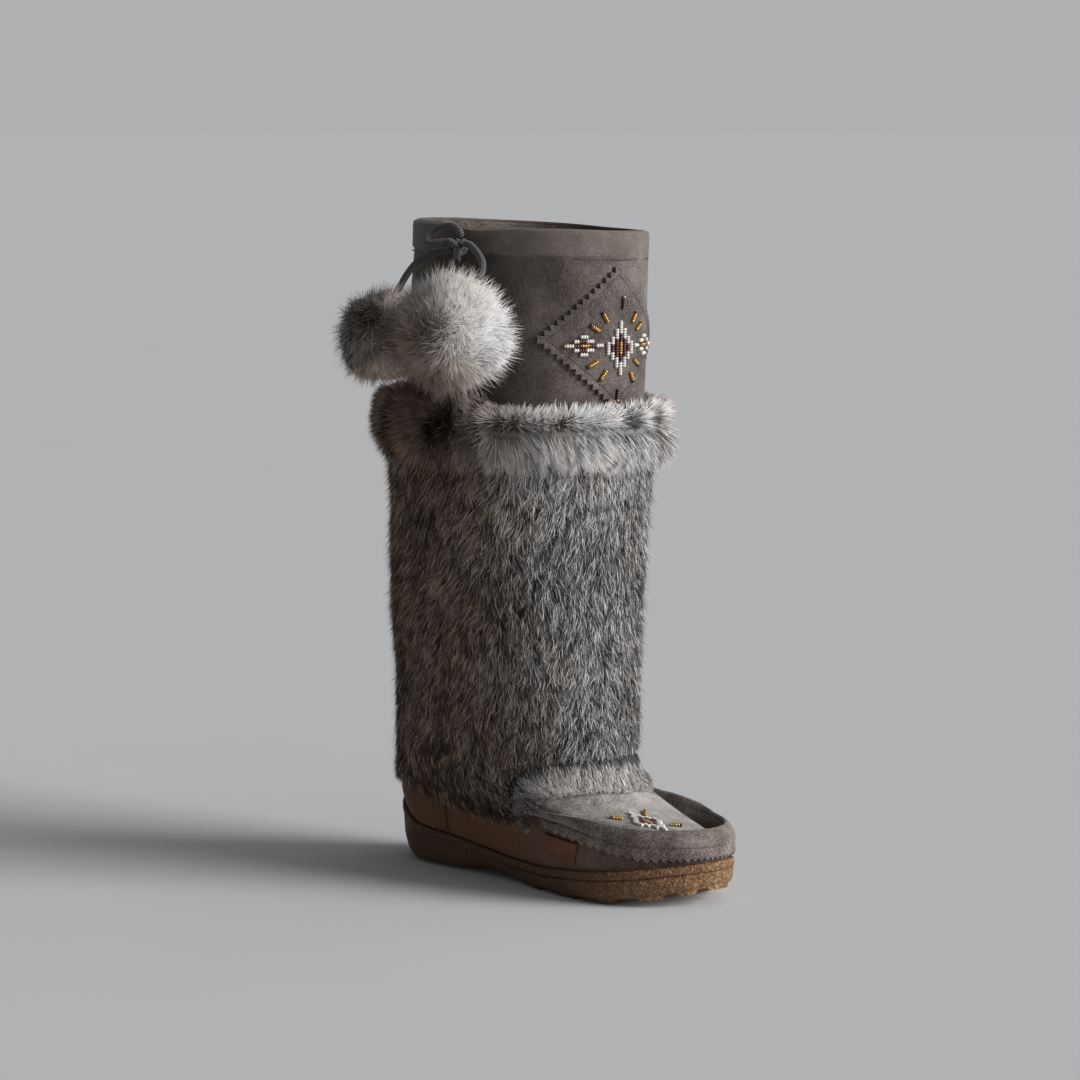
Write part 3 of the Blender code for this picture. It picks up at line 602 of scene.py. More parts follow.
def crumb_rubber():
    """Crumb rubber: pebbled grain, light and dark flecks, broad darker patches and painted shade away from
    the window.
    """
    paint = Paint("crumb_rubber_looks", 0.55, Specular_IOR_Level=0.4)
    crumbs = paint.cells(720.0)
    grain = paint.noise(1100.0, 3.0, 0.7)
    fleck = paint.node("ShaderNodeRGBToBW", Color=paint.cells(640.0, "Color")).outputs["Val"]
    colour = paint.ramp(paint.blend((fleck, 0.45), (grain, 0.55)), *RUBBER_TONES)
    wash = paint.span(paint.noise(30.0, 3.0, 0.6), 0.35, 0.75, 0.0, 0.5)
    colour = paint.mix(wash, colour, (0.105, 0.046, 0.016))
    # Painted shade: the rubber darkens to a deep brown away from the window.
    shade = paint.span(paint.towards(WINDOW_ALONG), 0.160, 0.060, 0.0, 0.86)
    paint.colour(paint.mix(shade, colour, (0.050, 0.018, 0.005)))
    paint.bump(crumbs, 0.75, 0.8)
    paint.bump(grain, 0.55, 0.4)
    return paint.material


def felt():
    paint = Paint("footbed_felt_looks", 0.95, Sheen_Weight=0.3)
    fibres = paint.noise(900.0, 4.0, 0.7)
    paint.colour(paint.ramp(fibres, (0.3, (0.25, 0.21, 0.17)), (0.7, (0.42, 0.37, 0.31))))
    paint.bump(fibres, 0.6, 0.5)
    return paint.material


def leather_label():
    paint = Paint("tan_leather_looks", 0.5)
    broad = paint.noise(150.0, 4.0, 0.6)
    grain = paint.cells(1500.0)
    paint.colour(paint.ramp(broad, (0.3, (0.078, 0.017, 0.004)), (0.7, (0.155, 0.040, 0.010))))
    paint.bump(grain, 0.5, 0.15)
    paint.bump(broad, 0.2, 0.4)
    return paint.material


def braid_cloth():
    paint = Paint("charcoal_braid_looks", 0.75, Sheen_Weight=0.3)
    threads = paint.noise(2500.0, 3.0, 0.6)
    colour = paint.ramp(threads, (0.3, (0.004, 0.004, 0.005)), (0.75, (0.030, 0.030, 0.035)))
    # Painted highlight on the tops of the braid's strands, with painted shade in the grooves between them.
    paint.colour(paint.mix(paint.attribute("weave_and_highlight", "Fac"), colour, (0.19, 0.19, 0.205)))
    paint.bump(threads, 0.5, 0.2)
    return paint.material


def plain(name, colour, roughness, **sockets):
    paint = Paint(name, roughness, **sockets)
    tone = paint.noise(900.0, 2.0)
    dark = tuple(value * 0.72 for value in colour)
    light = tuple(min(1.0, value * 1.18) for value in colour)
    paint.colour(paint.ramp(tone, (0.35, dark), (0.65, light)))
    return paint.material


def fur_coat(name):
    paint = Paint(name, 0.62, Specular_IOR_Level=0.25)
    paint.colour(paint.attribute("coat", "Color"))
    return paint.material


SUEDE = suede("grey_suede_looks", (0.148, 0.126, 0.111), (0.098, 0.081, 0.070), 0.95, 1.2)
SUEDE_PATCH = suede("patch_suede_looks", (0.140, 0.119, 0.108), (0.088, 0.074, 0.066), 0.0, 1.25)
SUEDE_BAND = suede("band_suede_looks", (0.225, 0.190, 0.172), (0.125, 0.102, 0.090), 0.0, 1.2)
SUEDE_PLUG = suede("plug_suede_looks", (0.37, 0.345, 0.325), (0.235, 0.215, 0.20), 0.0, 1.1)
SUEDE_INSIDE = suede("inside_suede_looks", (0.15, 0.128, 0.112), (0.085, 0.070, 0.060), 0.0, 1.0)
RUBBER = crumb_rubber()
FELT = felt()
LEATHER = leather_label()
BRAID = braid_cloth()
THREAD = plain("dark_thread", (0.045, 0.038, 0.034), 0.8)
BEAD_WHITE = plain("white_beads", (0.80, 0.77, 0.70), 0.28, Coat_Weight=0.5)
BEAD_MAROON = plain("maroon_beads", (0.075, 0.012, 0.022), 0.22, Coat_Weight=0.6)
BEAD_GOLD = plain("gold_beads", (0.62, 0.34, 0.065), 0.22, Metallic=0.75, Coat_Weight=0.4)
FUR = fur_coat("agouti_fur_looks")


# Outsole

# From the tread up the side and over the lip: share of the side's height, drop, inset, and
# further inset at the heel
SIDE_STEPS = (
    (0.00, 0.0, 3.4, 7.5),
    (0.03, 0.0, 2.5, 6.8),
    (0.08, 0.0, 1.8, 5.8),
    (0.16, 0.0, 1.2, 4.2),
    (0.30, 0.0, 0.8, 2.4),
    (0.45, 0.0, 0.5, 1.2),
    (0.75, 3.2, 0.5, 0.6),
    (1.00, 6.5, 0.5, 0.2),
    (1.00, 6.2, 0.9, 0.0),
    (1.00, 5.9, 1.3, 0.0),
    (1.00, 5.6, 0.9, 0.0),
    (1.00, 5.2, 0.1, 0.0),
    (1.00, 4.0, -0.1, 0.0),
    (1.00, 2.0, -0.1, 0.0),
    (1.00, 0.8, 0.1, 0.0),
    (1.00, 0.2, 0.5, 0.0),
    (1.00, 0.0, 1.1, 0.0),
    (1.00, 0.0, 2.2, 0.0),
)
GROOVE_STEPS = (8, 9, 10)
GROOVE_FROM = 0.33
GROOVE_FULL = 0.48
SIDE_INSET = 0.3
TREAD_COLUMNS = 8
TREAD_CELLS = 48
BED_CELLS = 12
HEEL_TREAD = (0.02, 0.26)
FOREFOOT_FROM = 0.50
BLOCK_COLUMNS = (0, 2, 3, 4, 5, 7)
STATIONS = 22
LUG_SLOPE = (0.07, 0.10)


def sole_ring(turn, step):
    share, drop, inset, heel_inset = SIDE_STEPS[step]
    along = along_at(turn)
    tread = sole_value("tread", along)
    rim = sole_value("rim", along)
    heel = np.maximum(0, np.cos(turn)) ** 2 * np.maximum(0, 1 - along / 0.2)
    depth = inset + heel_inset * heel
    if step in GROOVE_STEPS:
        full = np.clip((along - GROOVE_FROM) / (GROOVE_FULL - GROOVE_FROM), 0, 1)
        depth = SIDE_INSET + (inset - SIDE_INSET) * full
    point = outline(turn, depth)
    point[:, 2] = tread + (rim - tread) * share - drop
    if 0 < step < len(SIDE_STEPS) - 2:
        rough = noise(point[:, 0] / 3.1, point[:, 1] / 3.1 + point[:, 2] / 2.3, 7) - 0.5
        point[:, :2] += unit(point[:, :2] - (80.0, 4.0)) * (rough * 0.28)[:, None]
    return point


def lug_share(station, across):
    """How much of a lug's depth stands at a place on the tread, with short sloping walls."""
    row = np.floor(station).astype(int)
    place = np.clip(np.floor(across).astype(int), 0, TREAD_COLUMNS - 1)
    along = along_at(math.pi * (row + 1.5) / STATIONS)
    block = (row % 2 == 0) & np.isin(place, BLOCK_COLUMNS)
    waist = (row % 2 == 0) & (place > 1) & (place < TREAD_COLUMNS - 2)
    heel = (place > 0) & (place < TREAD_COLUMNS - 1) & (along > HEEL_TREAD[0])
    return np.where(along < HEEL_TREAD[1], heel, np.where(along < FOREFOOT_FROM, waist, block)) * 1.0


def cap_grid(ring_points, cells, height_name, lift, lugs=False):
    """Rows of points across a ring of outline points, without those of the ring itself."""
    half = COLUMNS // 2
    inner_turns = np.arange(1, half)
    outer = ring_points[inner_turns]
    inner = ring_points[COLUMNS - inner_turns]
    share = (np.arange(1, cells) / cells)[None, :, None]
    middle = outer[:, None] * (1 - share) + inner[:, None] * share
    along = (middle[..., 0] - HEEL_BACK) / SOLE_LENGTH
    middle[..., 2] = sole_value(height_name, along) + lift
    if lugs:
        station = inner_turns[:, None] / half * STATIONS - 1 + 0 * share[..., 0]
        across = share[..., 0] * TREAD_COLUMNS + 0 * station
        corners = [(i, j) for i in (-LUG_SLOPE[0], LUG_SLOPE[0]) for j in (-LUG_SLOPE[1], LUG_SLOPE[1])]
        solid = np.minimum.reduce([lug_share(station + i, across + j) for i, j in corners])
        middle[..., 2] -= solid * LUG_DEPTH
    return middle


def cap_faces(ring, start, cells, flip):
    """Faces across a ring whose first point is given, with new points from another number on."""
    half = COLUMNS // 2
    steps = np.arange(1, half)
    new = start + np.arange(len(steps) * (cells - 1)).reshape(len(steps), -1)
    number = np.hstack([(ring + steps)[:, None], new, (ring + COLUMNS - steps)[:, None]])
    quads = np.stack([number[:-1, :-1], number[:-1, 1:], number[1:, 1:], number[1:, :-1]], -1)
    heel = np.stack([np.full(cells, ring), number[0, 1:], number[0, :-1]], -1)
    toe = np.stack([np.full(cells, ring + half), number[-1, :-1], number[-1, 1:]], -1)
    faces = np.vstack([as_triangles(quads.reshape(-1, 4)), heel, toe])
    return faces[:, ::-1] if flip else faces


def capped(name, rings, low_cap, high_cap, finish):
    """A solid of outline rings, closed by a net of points across the first and the last."""
    points = np.vstack(rings)
    faces = [as_triangles(grid_faces(len(rings), COLUMNS, False, True))]
    for ring, cap, flip in ((0, low_cap, False), ((len(rings) - 1) * COLUMNS, high_cap, True)):
        faces.append(cap_faces(ring, len(points), cap.shape[1] + 1, flip))
        points = np.vstack([points, cap.reshape(-1, 3)])
    return solid(name, points, np.vstack(faces), finish, 55.0)


def make_outsole():
    rings = [sole_ring(RING, step) for step in range(len(SIDE_STEPS))]
    for name in ("rim", "bed"):
        rings.append(outline_at(RING, SOLE_WALL, sole_value(name, along_at(RING))))
    tread = cap_grid(rings[0], TREAD_CELLS, "tread", 0.0, lugs=True)
    bed = cap_grid(rings[-1], BED_CELLS, "bed", 0.0)
    piece = capped("rubber_outsole", rings, tread, bed, RUBBER)
    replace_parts(piece, "outsole")


# Upper


def dent(turn, level, turn0, level0, lean, length, width):
    """A soft trough along a short line on the upper, from 0 to 1."""
    across = (turn - turn0) / 0.1
    up = level - level0
    run = across * math.cos(lean) + up * math.sin(lean)
    off = -across * math.sin(lean) + up * math.cos(lean)
    return np.exp(-((run / length) ** 2) - (off / width) ** 2)


# Creases of the suede: turn, level, lean, length and width in tenths of a radian and levels, depth
CREASES = (
    (1.95, 19.2, 0.5, 6.0, 0.5, -2.2),
    (1.30, 18.4, -0.4, 5.0, 0.6, -2.0),
    (2.55, 17.6, 0.9, 4.0, 0.7, 1.2),
    (0.70, 19.0, 0.2, 6.0, 0.6, -2.4),
    (4.90, 18.6, 0.4, 6.0, 0.6, -2.4),
    (5.60, 17.7, -0.3, 5.0, 0.6, -1.8),
    (0.62, 3.0, 1.2, 2.6, 0.5, -0.7),
    (0.85, 3.4, 1.0, 2.4, 0.5, -0.6),
    (2.05, 3.2, 0.2, 3.4, 0.45, -0.8),
    (1.75, 2.6, 0.1, 3.2, 0.4, -0.6),
    (4.30, 3.0, 0.3, 3.0, 0.5, -0.8),
    (5.40, 3.2, -0.8, 2.6, 0.5, -0.7),
)


HOLLOW_TURNS = np.linspace(0.0, TAU, COLUMNS + 1)
INSIDE_LEVEL = 12.0


def hollow_edges():
    """Levels at which the hollow inside the rolled band starts, is deepest and ends."""
    shoulder = shoulder_level(HOLLOW_TURNS)
    wide = 27.0 + 25.0 * smooth_step(0.1, 0.6, -np.sin(HOLLOW_TURNS))
    return [level_beyond(HOLLOW_TURNS, shoulder, reach) for reach in (5.5, 9.0, wide)]


HOLLOW_EDGES = hollow_edges()


def sunk(turn, level):
    """How far the vamp lies below its full crown, in a hollow just inside the rolled band."""
    start, full, end = (np.interp(turn, HOLLOW_TURNS, edge) for edge in HOLLOW_EDGES)
    inner = smooth_step(-0.1, 0.3, -np.sin(turn))
    ends = smooth_step(0.50, 0.75, facing(turn)) * (1 - inner) + smooth_step(0.2, 0.34, facing(turn)) * inner
    deep = band_value(PLUG_SINKS, turn) * ends * (0.65 + 0.35 * inner)
    return deep * np.where(level < full, smooth_step(start, full, level), smooth_step(end, full, level))


def upper_relief(turn, level):
    relief = 0 * turn
    for turn0, level0, lean, length, width, depth in CREASES:
        relief = relief + depth * dent(turn, level, turn0, level0, lean, length, width)
    broad = noise(turn * 4.0, level * 0.9, 3) - 0.5
    return relief * 0.6 + broad * 0.9 * smooth_step(15.5, 17.0, level) * smooth_step(20.6, 19.6, level)


RIM_ROUND = 4.2


def rim_rounding(level):
    """How far the rolled collar draws in over its last few millimetres."""
    below = np.interp(level, (LAST_ROW - 2, LAST_ROW - 1, LAST_ROW), (16.5, 2.5, 0.0))
    share = np.clip(1 - below / RIM_ROUND, 0, 1)
    return RIM_ROUND * 0.55 * (1 - np.sqrt(1 - share**2 * 0.995))


def rim_dip(turn, level):
    """The collar's soft wave: a dip above the knot and a slighter one on the inner side."""
    dip = 2.6 * np.exp(-(((turn - 1.86) / 0.24) ** 2)) + 1.2 * np.exp(-(((turn - 4.6) / 0.5) ** 2))
    return (dip + 0.8 * (noise(turn * 2.2, 0 * turn, 12) - 0.5)) * smooth_step(18.5, 21.5, level)


def upper_outside():
    up = np.concatenate([np.arange(0, 9, 0.25), np.arange(9, 15), np.linspace(15, LAST_ROW, 43)])
    turn, level = np.meshgrid(RING, up, indexing="ij")
    creased_share = np.clip(smooth_step(2.0, 3.0, level) + smooth_step(16.0, 17.0, level), 0, 1)
    relief = np.minimum(upper_relief(turn, level), 0.6) * creased_share
    hollow = sunk(turn, np.minimum(level, INSIDE_LEVEL)) + 0.7 * smooth_step(19.2, 20.0, level)
    outer = skin(turn, level, relief - rim_rounding(level) - hollow)
    outer[..., 2] -= rim_dip(turn, level)
    return outer


def upper_inside(foot_height):
    down = np.concatenate([np.arange(LAST_ROW, 19, -0.25), np.arange(19, -1, -1)])
    turn, level = np.meshgrid(RING, down, indexing="ij")
    thick = UPPER_WALL + 2.0 + 1.6 * smooth_step(21.7, 20.6, level)
    inner = skin(turn, level, -thick - sunk(turn, np.minimum(level, INSIDE_LEVEL)))
    inner[..., 2] -= rim_dip(turn, level)
    inner[:, -1] = skin(RING, 0.0, -UPPER_WALL)
    inner[:, -1, 2] = foot_height
    return inner


def make_upper():
    outer = upper_outside()
    inner = upper_inside(outer[:, 0, 2])
    crown = (outer[:, -1:] + inner[:, :1]) / 2
    crown[..., 2] += 0.9
    piece = swept("suede_upper", np.concatenate([outer, crown, inner], 1), True, SUEDE, 60.0)
    piece.data.materials.append(SUEDE_INSIDE)
    ring = outer.shape[1] + 1 + inner.shape[1]
    lining = (np.arange(len(piece.data.polygons)) % ring) > outer.shape[1] + 1
    piece.data.polygons.foreach_set("material_index", lining.astype(np.int32))
    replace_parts(piece, "upper")


def make_insole():
    rings = []
    for inset, lift in ((6.0, 0.6), (6.0, 3.6), (6.6, 4.4), (7.6, 4.7)):
        ring = outline_at(RING, inset, 0.0)
        ring[:, 2] = sole_value("bed", (ring[:, 0] - HEEL_BACK) / SOLE_LENGTH) + lift
        rings.append(ring)
    low, high = (cap_grid(rings[end], BED_CELLS, "bed", lift) for end, lift in ((0, 0.6), (-1, 4.7)))
    piece = capped("felt_insole", rings, low, high, FELT)
    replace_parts(piece, "insole")


# Rolled band, stitches, panels, patch and label

BAND_TURN = 9 * STEP
BAND_TEETH = 44
ROLL_WIDTH = 8.0
# Section of the roll from its outer foot to its inner one: outward and upward
ROLL_ARC = (
    (0.9, 0.0),
    (2.4, 1.0),
    (3.4, 2.6),
    (3.6, 4.6),
    (2.9, 6.7),
    (1.2, 8.5),
    (-1.2, 9.6),
    (-3.6, 9.7),
    (-5.8, 8.6),
    (-7.3, 6.6),
    (-8.0, 4.2),
    (-7.8, 1.8),
)
# Places along a stitch and its thickness there, as shares
STITCH_SHAPE = ((0.0, 0.35), (0.2, 0.9), (0.5, 1.0), (0.8, 0.9), (1.0, 0.35))


def band_frame(turn):
    """Levels of the roll's two feet, the outer foot, and the roll's outward and upward directions."""
    shoulder = shoulder_level(turn)
    inside = level_beyond(turn, shoulder, ROLL_WIDTH)
    base = skin(turn, shoulder, 0.5)
    outward = unit(base - skin(turn, inside, 0.5))
    upward = unit(skin_frame(turn, inside)[1] + UPRIGHT)
    return shoulder, inside, base, outward, upward


def band_ring(turn, tooth, pucker):
    """Cross-sections of the band: its toothed edge, its wall, its roll and its hidden side."""
    shoulder, inside, base, outward, upward = band_frame(turn)
    low = band_value(BAND_EDGES, turn)
    edge = level_at(turn, low + tooth)
    wall = level_at(turn, low)
    ring = [skin(turn, edge, 3.1), skin(turn, wall + (shoulder - wall) * 0.22, 2.8)]
    for share, lift in ((0.45, 2.3), (0.7, 2.0), (0.88, 1.5)):
        ring.append(skin(turn, wall + (shoulder - wall) * share, lift + pucker * 0.3))
    lift = band_value(ROLL_LIFTS, turn) * (1 + pucker * 0.06)
    ring += [base + outward * out + upward * (up * lift)[:, None] for out, up in ROLL_ARC]
    deep = sunk(turn, level_beyond(turn, shoulder, ROLL_WIDTH + 0.6))
    ring.append(base - outward * (ROLL_WIDTH + 0.1) + upward * (0.6 - 0.5 * deep)[:, None])
    ring.append(skin(turn, inside, 0.6 - 0.9 * deep))
    ring += [skin(turn, (inside + shoulder) / 2, 0.5), base]
    ring += [skin(turn, (wall + shoulder) / 2, 0.5), skin(turn, edge, 1.5)]
    return np.stack(ring, 1)


def make_band():
    steps = BAND_TEETH * 6
    turn = math.pi + np.linspace(-BAND_TURN, BAND_TURN, steps + 1)
    tooth = 1.25 * zigzag(np.arange(steps + 1) / 6)
    pucker = (noise(turn * 26, 0 * turn, 11) - 0.5) * 0.7
    piece = swept("toe_band_suede", band_ring(turn, tooth, pucker), False, SUEDE_BAND, 50.0)
    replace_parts(piece, "toe_band")
    _, _, base, outward, upward = band_frame(math.pi + np.linspace(-0.98, 0.98, 84) * BAND_TURN)
    stitches("band_stitches", base - outward * 8.3 + upward * 2.6, -outward, 0.62, 0.42)


def stitches(name, path, normals, share, radius):
    """A row of short stitches along a path, each a slim spindle, joined in one mesh."""
    start = path[:-1]
    run = path[1:] - start
    low = start + run * (1 - share) / 2
    high = start + run * (1 + share) / 2
    up = unit(normals[:-1])
    spindles(name, low, high, np.cross(unit(run), up), up, STITCH_SHAPE, radius, 8, THREAD, 0)


def net_between(turn, low, high, share):
    """Turns and levels of a net between two edges."""
    level = low[:, None] + (high - low)[:, None] * share
    return turn[:, None] + 0 * level, level


def out_and_back(outer, inner):
    """Rows that go up the outer side and down the inner one."""
    return np.concatenate([outer, inner[:, ::-1]], 1)


def layer_sections(turn, level, outside, inside):
    """Cross-sections of a layer on the upper, between two offsets from it."""
    return out_and_back(skin(turn, level, outside), skin(turn, level, inside))


def panel(name, turn, low, high, gap, thickness, finish, relief, seed):
    """A thin panel on the upper between two levels, with soft edges all round."""
    share = np.linspace(0, 1, 33)
    grid_turn, level = net_between(turn, low, high, share)
    wave = (noise(grid_turn * 9, level * 1.6, seed) - 0.5) * relief
    edge = np.minimum(1, np.minimum(share, 1 - share) * 14)
    column = np.arange(len(turn))
    sides = np.minimum(1, np.minimum(column, column[::-1]) / 3)
    swell = np.sqrt(edge[None, :] * sides[:, None])
    gap = gap - sunk(grid_turn, level)
    top = gap + thickness * (0.35 + 0.65 * swell) + wave * swell
    return swept(name, layer_sections(grid_turn, level, top, gap), False, finish, 50.0)


def make_plug():
    turn = math.pi + np.linspace(-8.6, 8.6, 173) * STEP
    low = level_beyond(turn, shoulder_level(turn), ROLL_WIDTH + 1.2)
    high = level_at(turn, curve(TRIM_SHARES, TRIM_LOWS, facing(turn)) + 4.0)
    piece = panel("vamp_plug_suede", turn, low, np.maximum(high, low + 0.25), 0.9, 1.3, SUEDE_PLUG, 0.5, 5)
    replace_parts(piece, "vamp_plug")


def counter_edges(turn):
    """Levels of the heel counter's lower and upper edge."""
    low = level_at(turn, sole_value("rim", along_at(turn)) + 0.6)
    return low, level_at(turn, hem_height(turn) - 1.0)


def make_counter():
    turn = np.linspace(-7, 7, 141) * STEP
    piece = panel("heel_counter_suede", turn, *counter_edges(turn), 0.5, 1.4, SUEDE, 0.3, 6)
    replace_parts(piece, "heel_counter")
    share = np.linspace(0.02, 0.98, 15)
    for number, inset in enumerate((0.045, 0.085)):
        for side, word in ((-1, "inner"), (1, "outer")):
            edge = side * (7 * STEP - inset) + 0 * share
            low, high = counter_edges(edge)
            level = low + (high - low) * share
            normal = skin_frame(edge, level)[1]
            stitches(f"counter_stitches_{number}_{word}", skin(edge, level, 1.95), normal, 0.62, 0.3)


SHAFT_RADIUS = 75.0
PATCH_MIDDLE = 350.5
PATCH_HALF_WIDTH = 56.0
PATCH_HALF_HEIGHT = 45.0
PATCH_TEETH = 14
PATCH_BITE = 0.022


def on_shaft(arc, height, lift):
    """Points on the shaft, by millimetres round it from its front and by height."""
    turn = math.pi + np.asarray(arc, float) / SHAFT_RADIUS
    return skin(turn, level_at(turn, height), lift)


def shaft_normal(arc, height):
    turn = math.pi + arc / SHAFT_RADIUS
    return skin_frame(turn, level_at(turn, height))[1]


def square_net(cells):
    """Two shares from 0 to 1 over a square net, and how many cells each place is from its rim."""
    line = np.arange(cells + 1) / cells
    a, b = np.meshgrid(line, line, indexing="ij")
    return a, b, np.minimum(np.minimum(a, 1 - a), np.minimum(b, 1 - b)) * cells


def make_patch():
    cells = PATCH_TEETH * 4
    a, b, inset = square_net(cells)
    along_a = np.minimum(b, 1 - b) < np.minimum(a, 1 - a)
    push = np.clip(1 - inset / 2.0, 0, 1) * PATCH_BITE
    wave = zigzag(np.where(along_a, a, b) * PATCH_TEETH) * push
    side_a, side_b = (np.where(share < 0.5, -1, 1) for share in (a, b))
    arc = PATCH_HALF_WIDTH * (a - b + np.where(along_a, -side_b, side_a) * wave)
    height = PATCH_MIDDLE + PATCH_HALF_HEIGHT * (a + b - 1 + np.where(along_a, side_b, side_a) * wave)
    groove = np.exp(-(((inset - 3.45) / 0.6) ** 2)) * 0.4
    top = on_shaft(arc, height, GAP + 1.9 - 0.4 * np.clip(inset / 3.0, 0, 1) - groove)
    piece = plate("collar_patch_suede", cells, top, on_shaft(arc, height, GAP), SUEDE_PATCH)
    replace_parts(piece, "collar_patch")


def make_patch_stitches():
    """Stitches along the diamond a little inside the patch's edge."""
    place = np.arange(4 * 34 + 1) / 34
    across, up = (np.interp(place, range(5), values) for values in ((0, 1, 0, -1, 0), (1, 0, -1, 0, 1)))
    arc = across * 0.875 * PATCH_HALF_WIDTH
    height = PATCH_MIDDLE + up * 0.875 * PATCH_HALF_HEIGHT
    stitches("patch_stitches", on_shaft(arc, height, 1.75), shaft_normal(arc, height), 0.68, 0.22)


# Corners of the label as X and height: top back, top front, low front, low back
LABEL_CORNERS = ((117.5, 39.5), (147.5, 36.8), (143.5, 22.5), (113.5, 28.2))


def turn_on_outer_side(x, height):
    low = np.full(x.shape, 0.2 * math.pi)
    high = np.full(x.shape, 0.97 * math.pi)
    return halved(low, high, 24, lambda turn: skin_point(turn, level_at(turn, height))[:, 0] < x)


def make_label():
    cells = 32
    a, b, inset = square_net(cells)
    share_a, share_b = a.reshape(-1, 1), b.reshape(-1, 1)
    top_back, top_front, low_front, low_back = np.array(LABEL_CORNERS)
    top = top_back * (1 - share_a) + top_front * share_a
    low = low_back * (1 - share_a) + low_front * share_a
    x, height = (low * (1 - share_b) + top * share_b).T
    turn = turn_on_outer_side(x, height)
    level = level_at(turn, height)
    lift = GAP + 1.5 * np.sqrt(np.clip((inset.ravel() + 0.6) / 2.4, 0, 1))
    piece = plate("side_label_leather", cells, skin(turn, level, lift), skin(turn, level, GAP), LEATHER)
    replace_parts(piece, "side_label")


def make_hem_stitches():
    turn = np.arange(0, 181) * TAU / 180
    level = 18.98 + 0 * turn
    path = skin(turn, level, 0.12)
    stitches("collar_hem_stitches", path, skin_frame(turn, level)[1], 0.7, 0.3)


# Fur

PALETTE = 64
CELL_MARGIN = 0.12
BANDS = (0.17, 0.74, 1.18)
UNDERCOAT_SHARE = 0.34
HAIR_CORNERS = np.array(((0, 2, 1), (1, 2, 3)))


def coat_colour(tone, variety, band):
    """A hair's colour at its root, middle or tip: tone from dark to light, variety from brown to grey."""
    grey = np.array((0.50, 0.505, 0.51))
    brown = np.array((0.47, 0.33, 0.228))
    full = brown + (grey - brown) * np.clip(variety, 0, 1)[..., None]
    strength = 0.03 + 1.5 * np.clip(tone, 0, 1)[..., None] ** 1.8
    return np.clip(full * strength * band, 0.004, 0.9)


def glowing(normal):
    """Shading directions of lit fur, which lets light through, turned a little towards the window."""
    window = unit(np.array(WINDOW_SIDE))
    share = 0.55 * smooth_step(-0.35, 0.35, normal @ window)
    return unit(normal + window * share[..., None])


def tilted(first, second, angle):
    """Directions turned from one direction towards another by an angle."""
    return first * np.cos(angle)[:, None] + second * np.sin(angle)[:, None]


def paint_points(mesh, colour):
    full = np.ones((len(colour), 4))
    full[:, :3] = colour
    coat = mesh.color_attributes.new("coat", "FLOAT_COLOR", "POINT")
    coat.data.foreach_set("color", full.ravel())


def four_points(root, left, right, tip):
    return np.stack([root, left, right, tip], 1).reshape(-1, 3)


def palette_places(tone, variety):
    """Places in the palette's cells for the corners of each hair's two faces."""
    near, far = CELL_MARGIN, 1 - CELL_MARGIN
    places = np.array(((0.5, near), (near, 0.5), (far, 0.5), (0.5, far)))
    low = np.stack([tone, variety], -1) / PALETTE
    return low[:, None] + places[HAIR_CORNERS.ravel()][None] / PALETTE


def hair_piece(name, root, lean, normal, length, width, tone, variety, roll, bend):
    """Slim kites, one a hair, from roots and directions, coloured from a palette of tones."""
    tone, variety = (np.clip((value * PALETTE).astype(int), 0, PALETTE - 1) for value in (tone, variety))
    side = unit(np.cross(lean, normal))
    up = unit(np.cross(side, lean))
    side = tilted(side, up, roll)
    middle = root + lean * (length * 0.5)[:, None]
    tip = root + lean * length[:, None] + normal * (length * bend)[:, None]
    half = side * (width / 2)[:, None]
    faces = (HAIR_CORNERS[None] + np.arange(len(root))[:, None, None] * 4).reshape(-1, 3)
    piece = mesh_piece(name, four_points(root, middle - half, middle + half, tip), faces, FUR, 0)
    cell_middles = (tone + 0.5) / PALETTE, (variety + 0.5) / PALETTE
    low, mid, high = (coat_colour(*cell_middles, band) for band in BANDS)
    paint_points(piece.data, four_points(low, mid, mid, high))
    layer = piece.data.uv_layers.new(name="OFBake")
    layer.data.foreach_set("uv", palette_places(tone, variety).ravel())
    soft = unit(glowing(normal) * 0.8 + up * 0.2)
    turned = four_points(soft, unit(soft - side * 0.5), unit(soft + side * 0.5), soft)
    piece.data.normals_split_custom_set_from_vertices(turned.tolist())
    return piece


def undercoat(name, node, slot, sections, closed, tone, variety):
    """The dense coat below the hairs, in their darker tones."""
    piece = swept(name, sections, closed, FUR, 0)
    colour = coat_colour(tone, variety, UNDERCOAT_SHARE).reshape(-1, 3)
    spare = len(piece.data.vertices) - len(colour)
    if spare:
        colour = np.vstack([colour, np.repeat(colour.mean(0)[None], spare, 0)])
    paint_points(piece.data, colour)
    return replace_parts(piece, node)


def clumps(rng, across, jitter, along, wide, tall, seed):
    """How far each hair is from the middle of its jittered clump, sideways, and the clump's number."""
    across = across + rng.normal(0, jitter, len(across))
    along = along + rng.normal(0, 1.0, len(across))
    i = np.floor(across / wide)
    j = np.floor(along / tall + lattice(i, 0 * i, seed))
    centre = (i + 0.5 + (lattice(i, j, seed + 1) - 0.5) * 0.6) * wide
    return across - centre, lattice(i, j, seed + 3)


def brownness(turn):
    """How brown and dark the coat is, from 0 at the front to 1 at the back."""
    return np.clip(smooth_step(2.75, 1.5, turn) + smooth_step(4.9, 5.6, turn), 0, 1)


# The pelt's seam on the outer side, and the crease of its roll at the front
SEAM_TURN = 2.03
SEAM_LOW = 252.0
CREASE = 297.5


def creased(turn):
    return smooth_step(1.99, 2.16, turn) * smooth_step(4.9, 4.6, turn)


def seam_gap(turn, height):
    """A narrow parting along the seam, from 0 to 1, and a wider lap on its front side."""
    reach = (turn - SEAM_TURN - 0.02 * np.sin(height / 7.0)) * SHAFT_RADIUS
    high = smooth_step(SEAM_LOW - 8, SEAM_LOW + 6, height)
    lap = smooth_step(0.0, 1.5, reach) * smooth_step(11.0, 5.0, reach)
    return np.exp(-((reach / 1.6) ** 2)) * high, lap * high


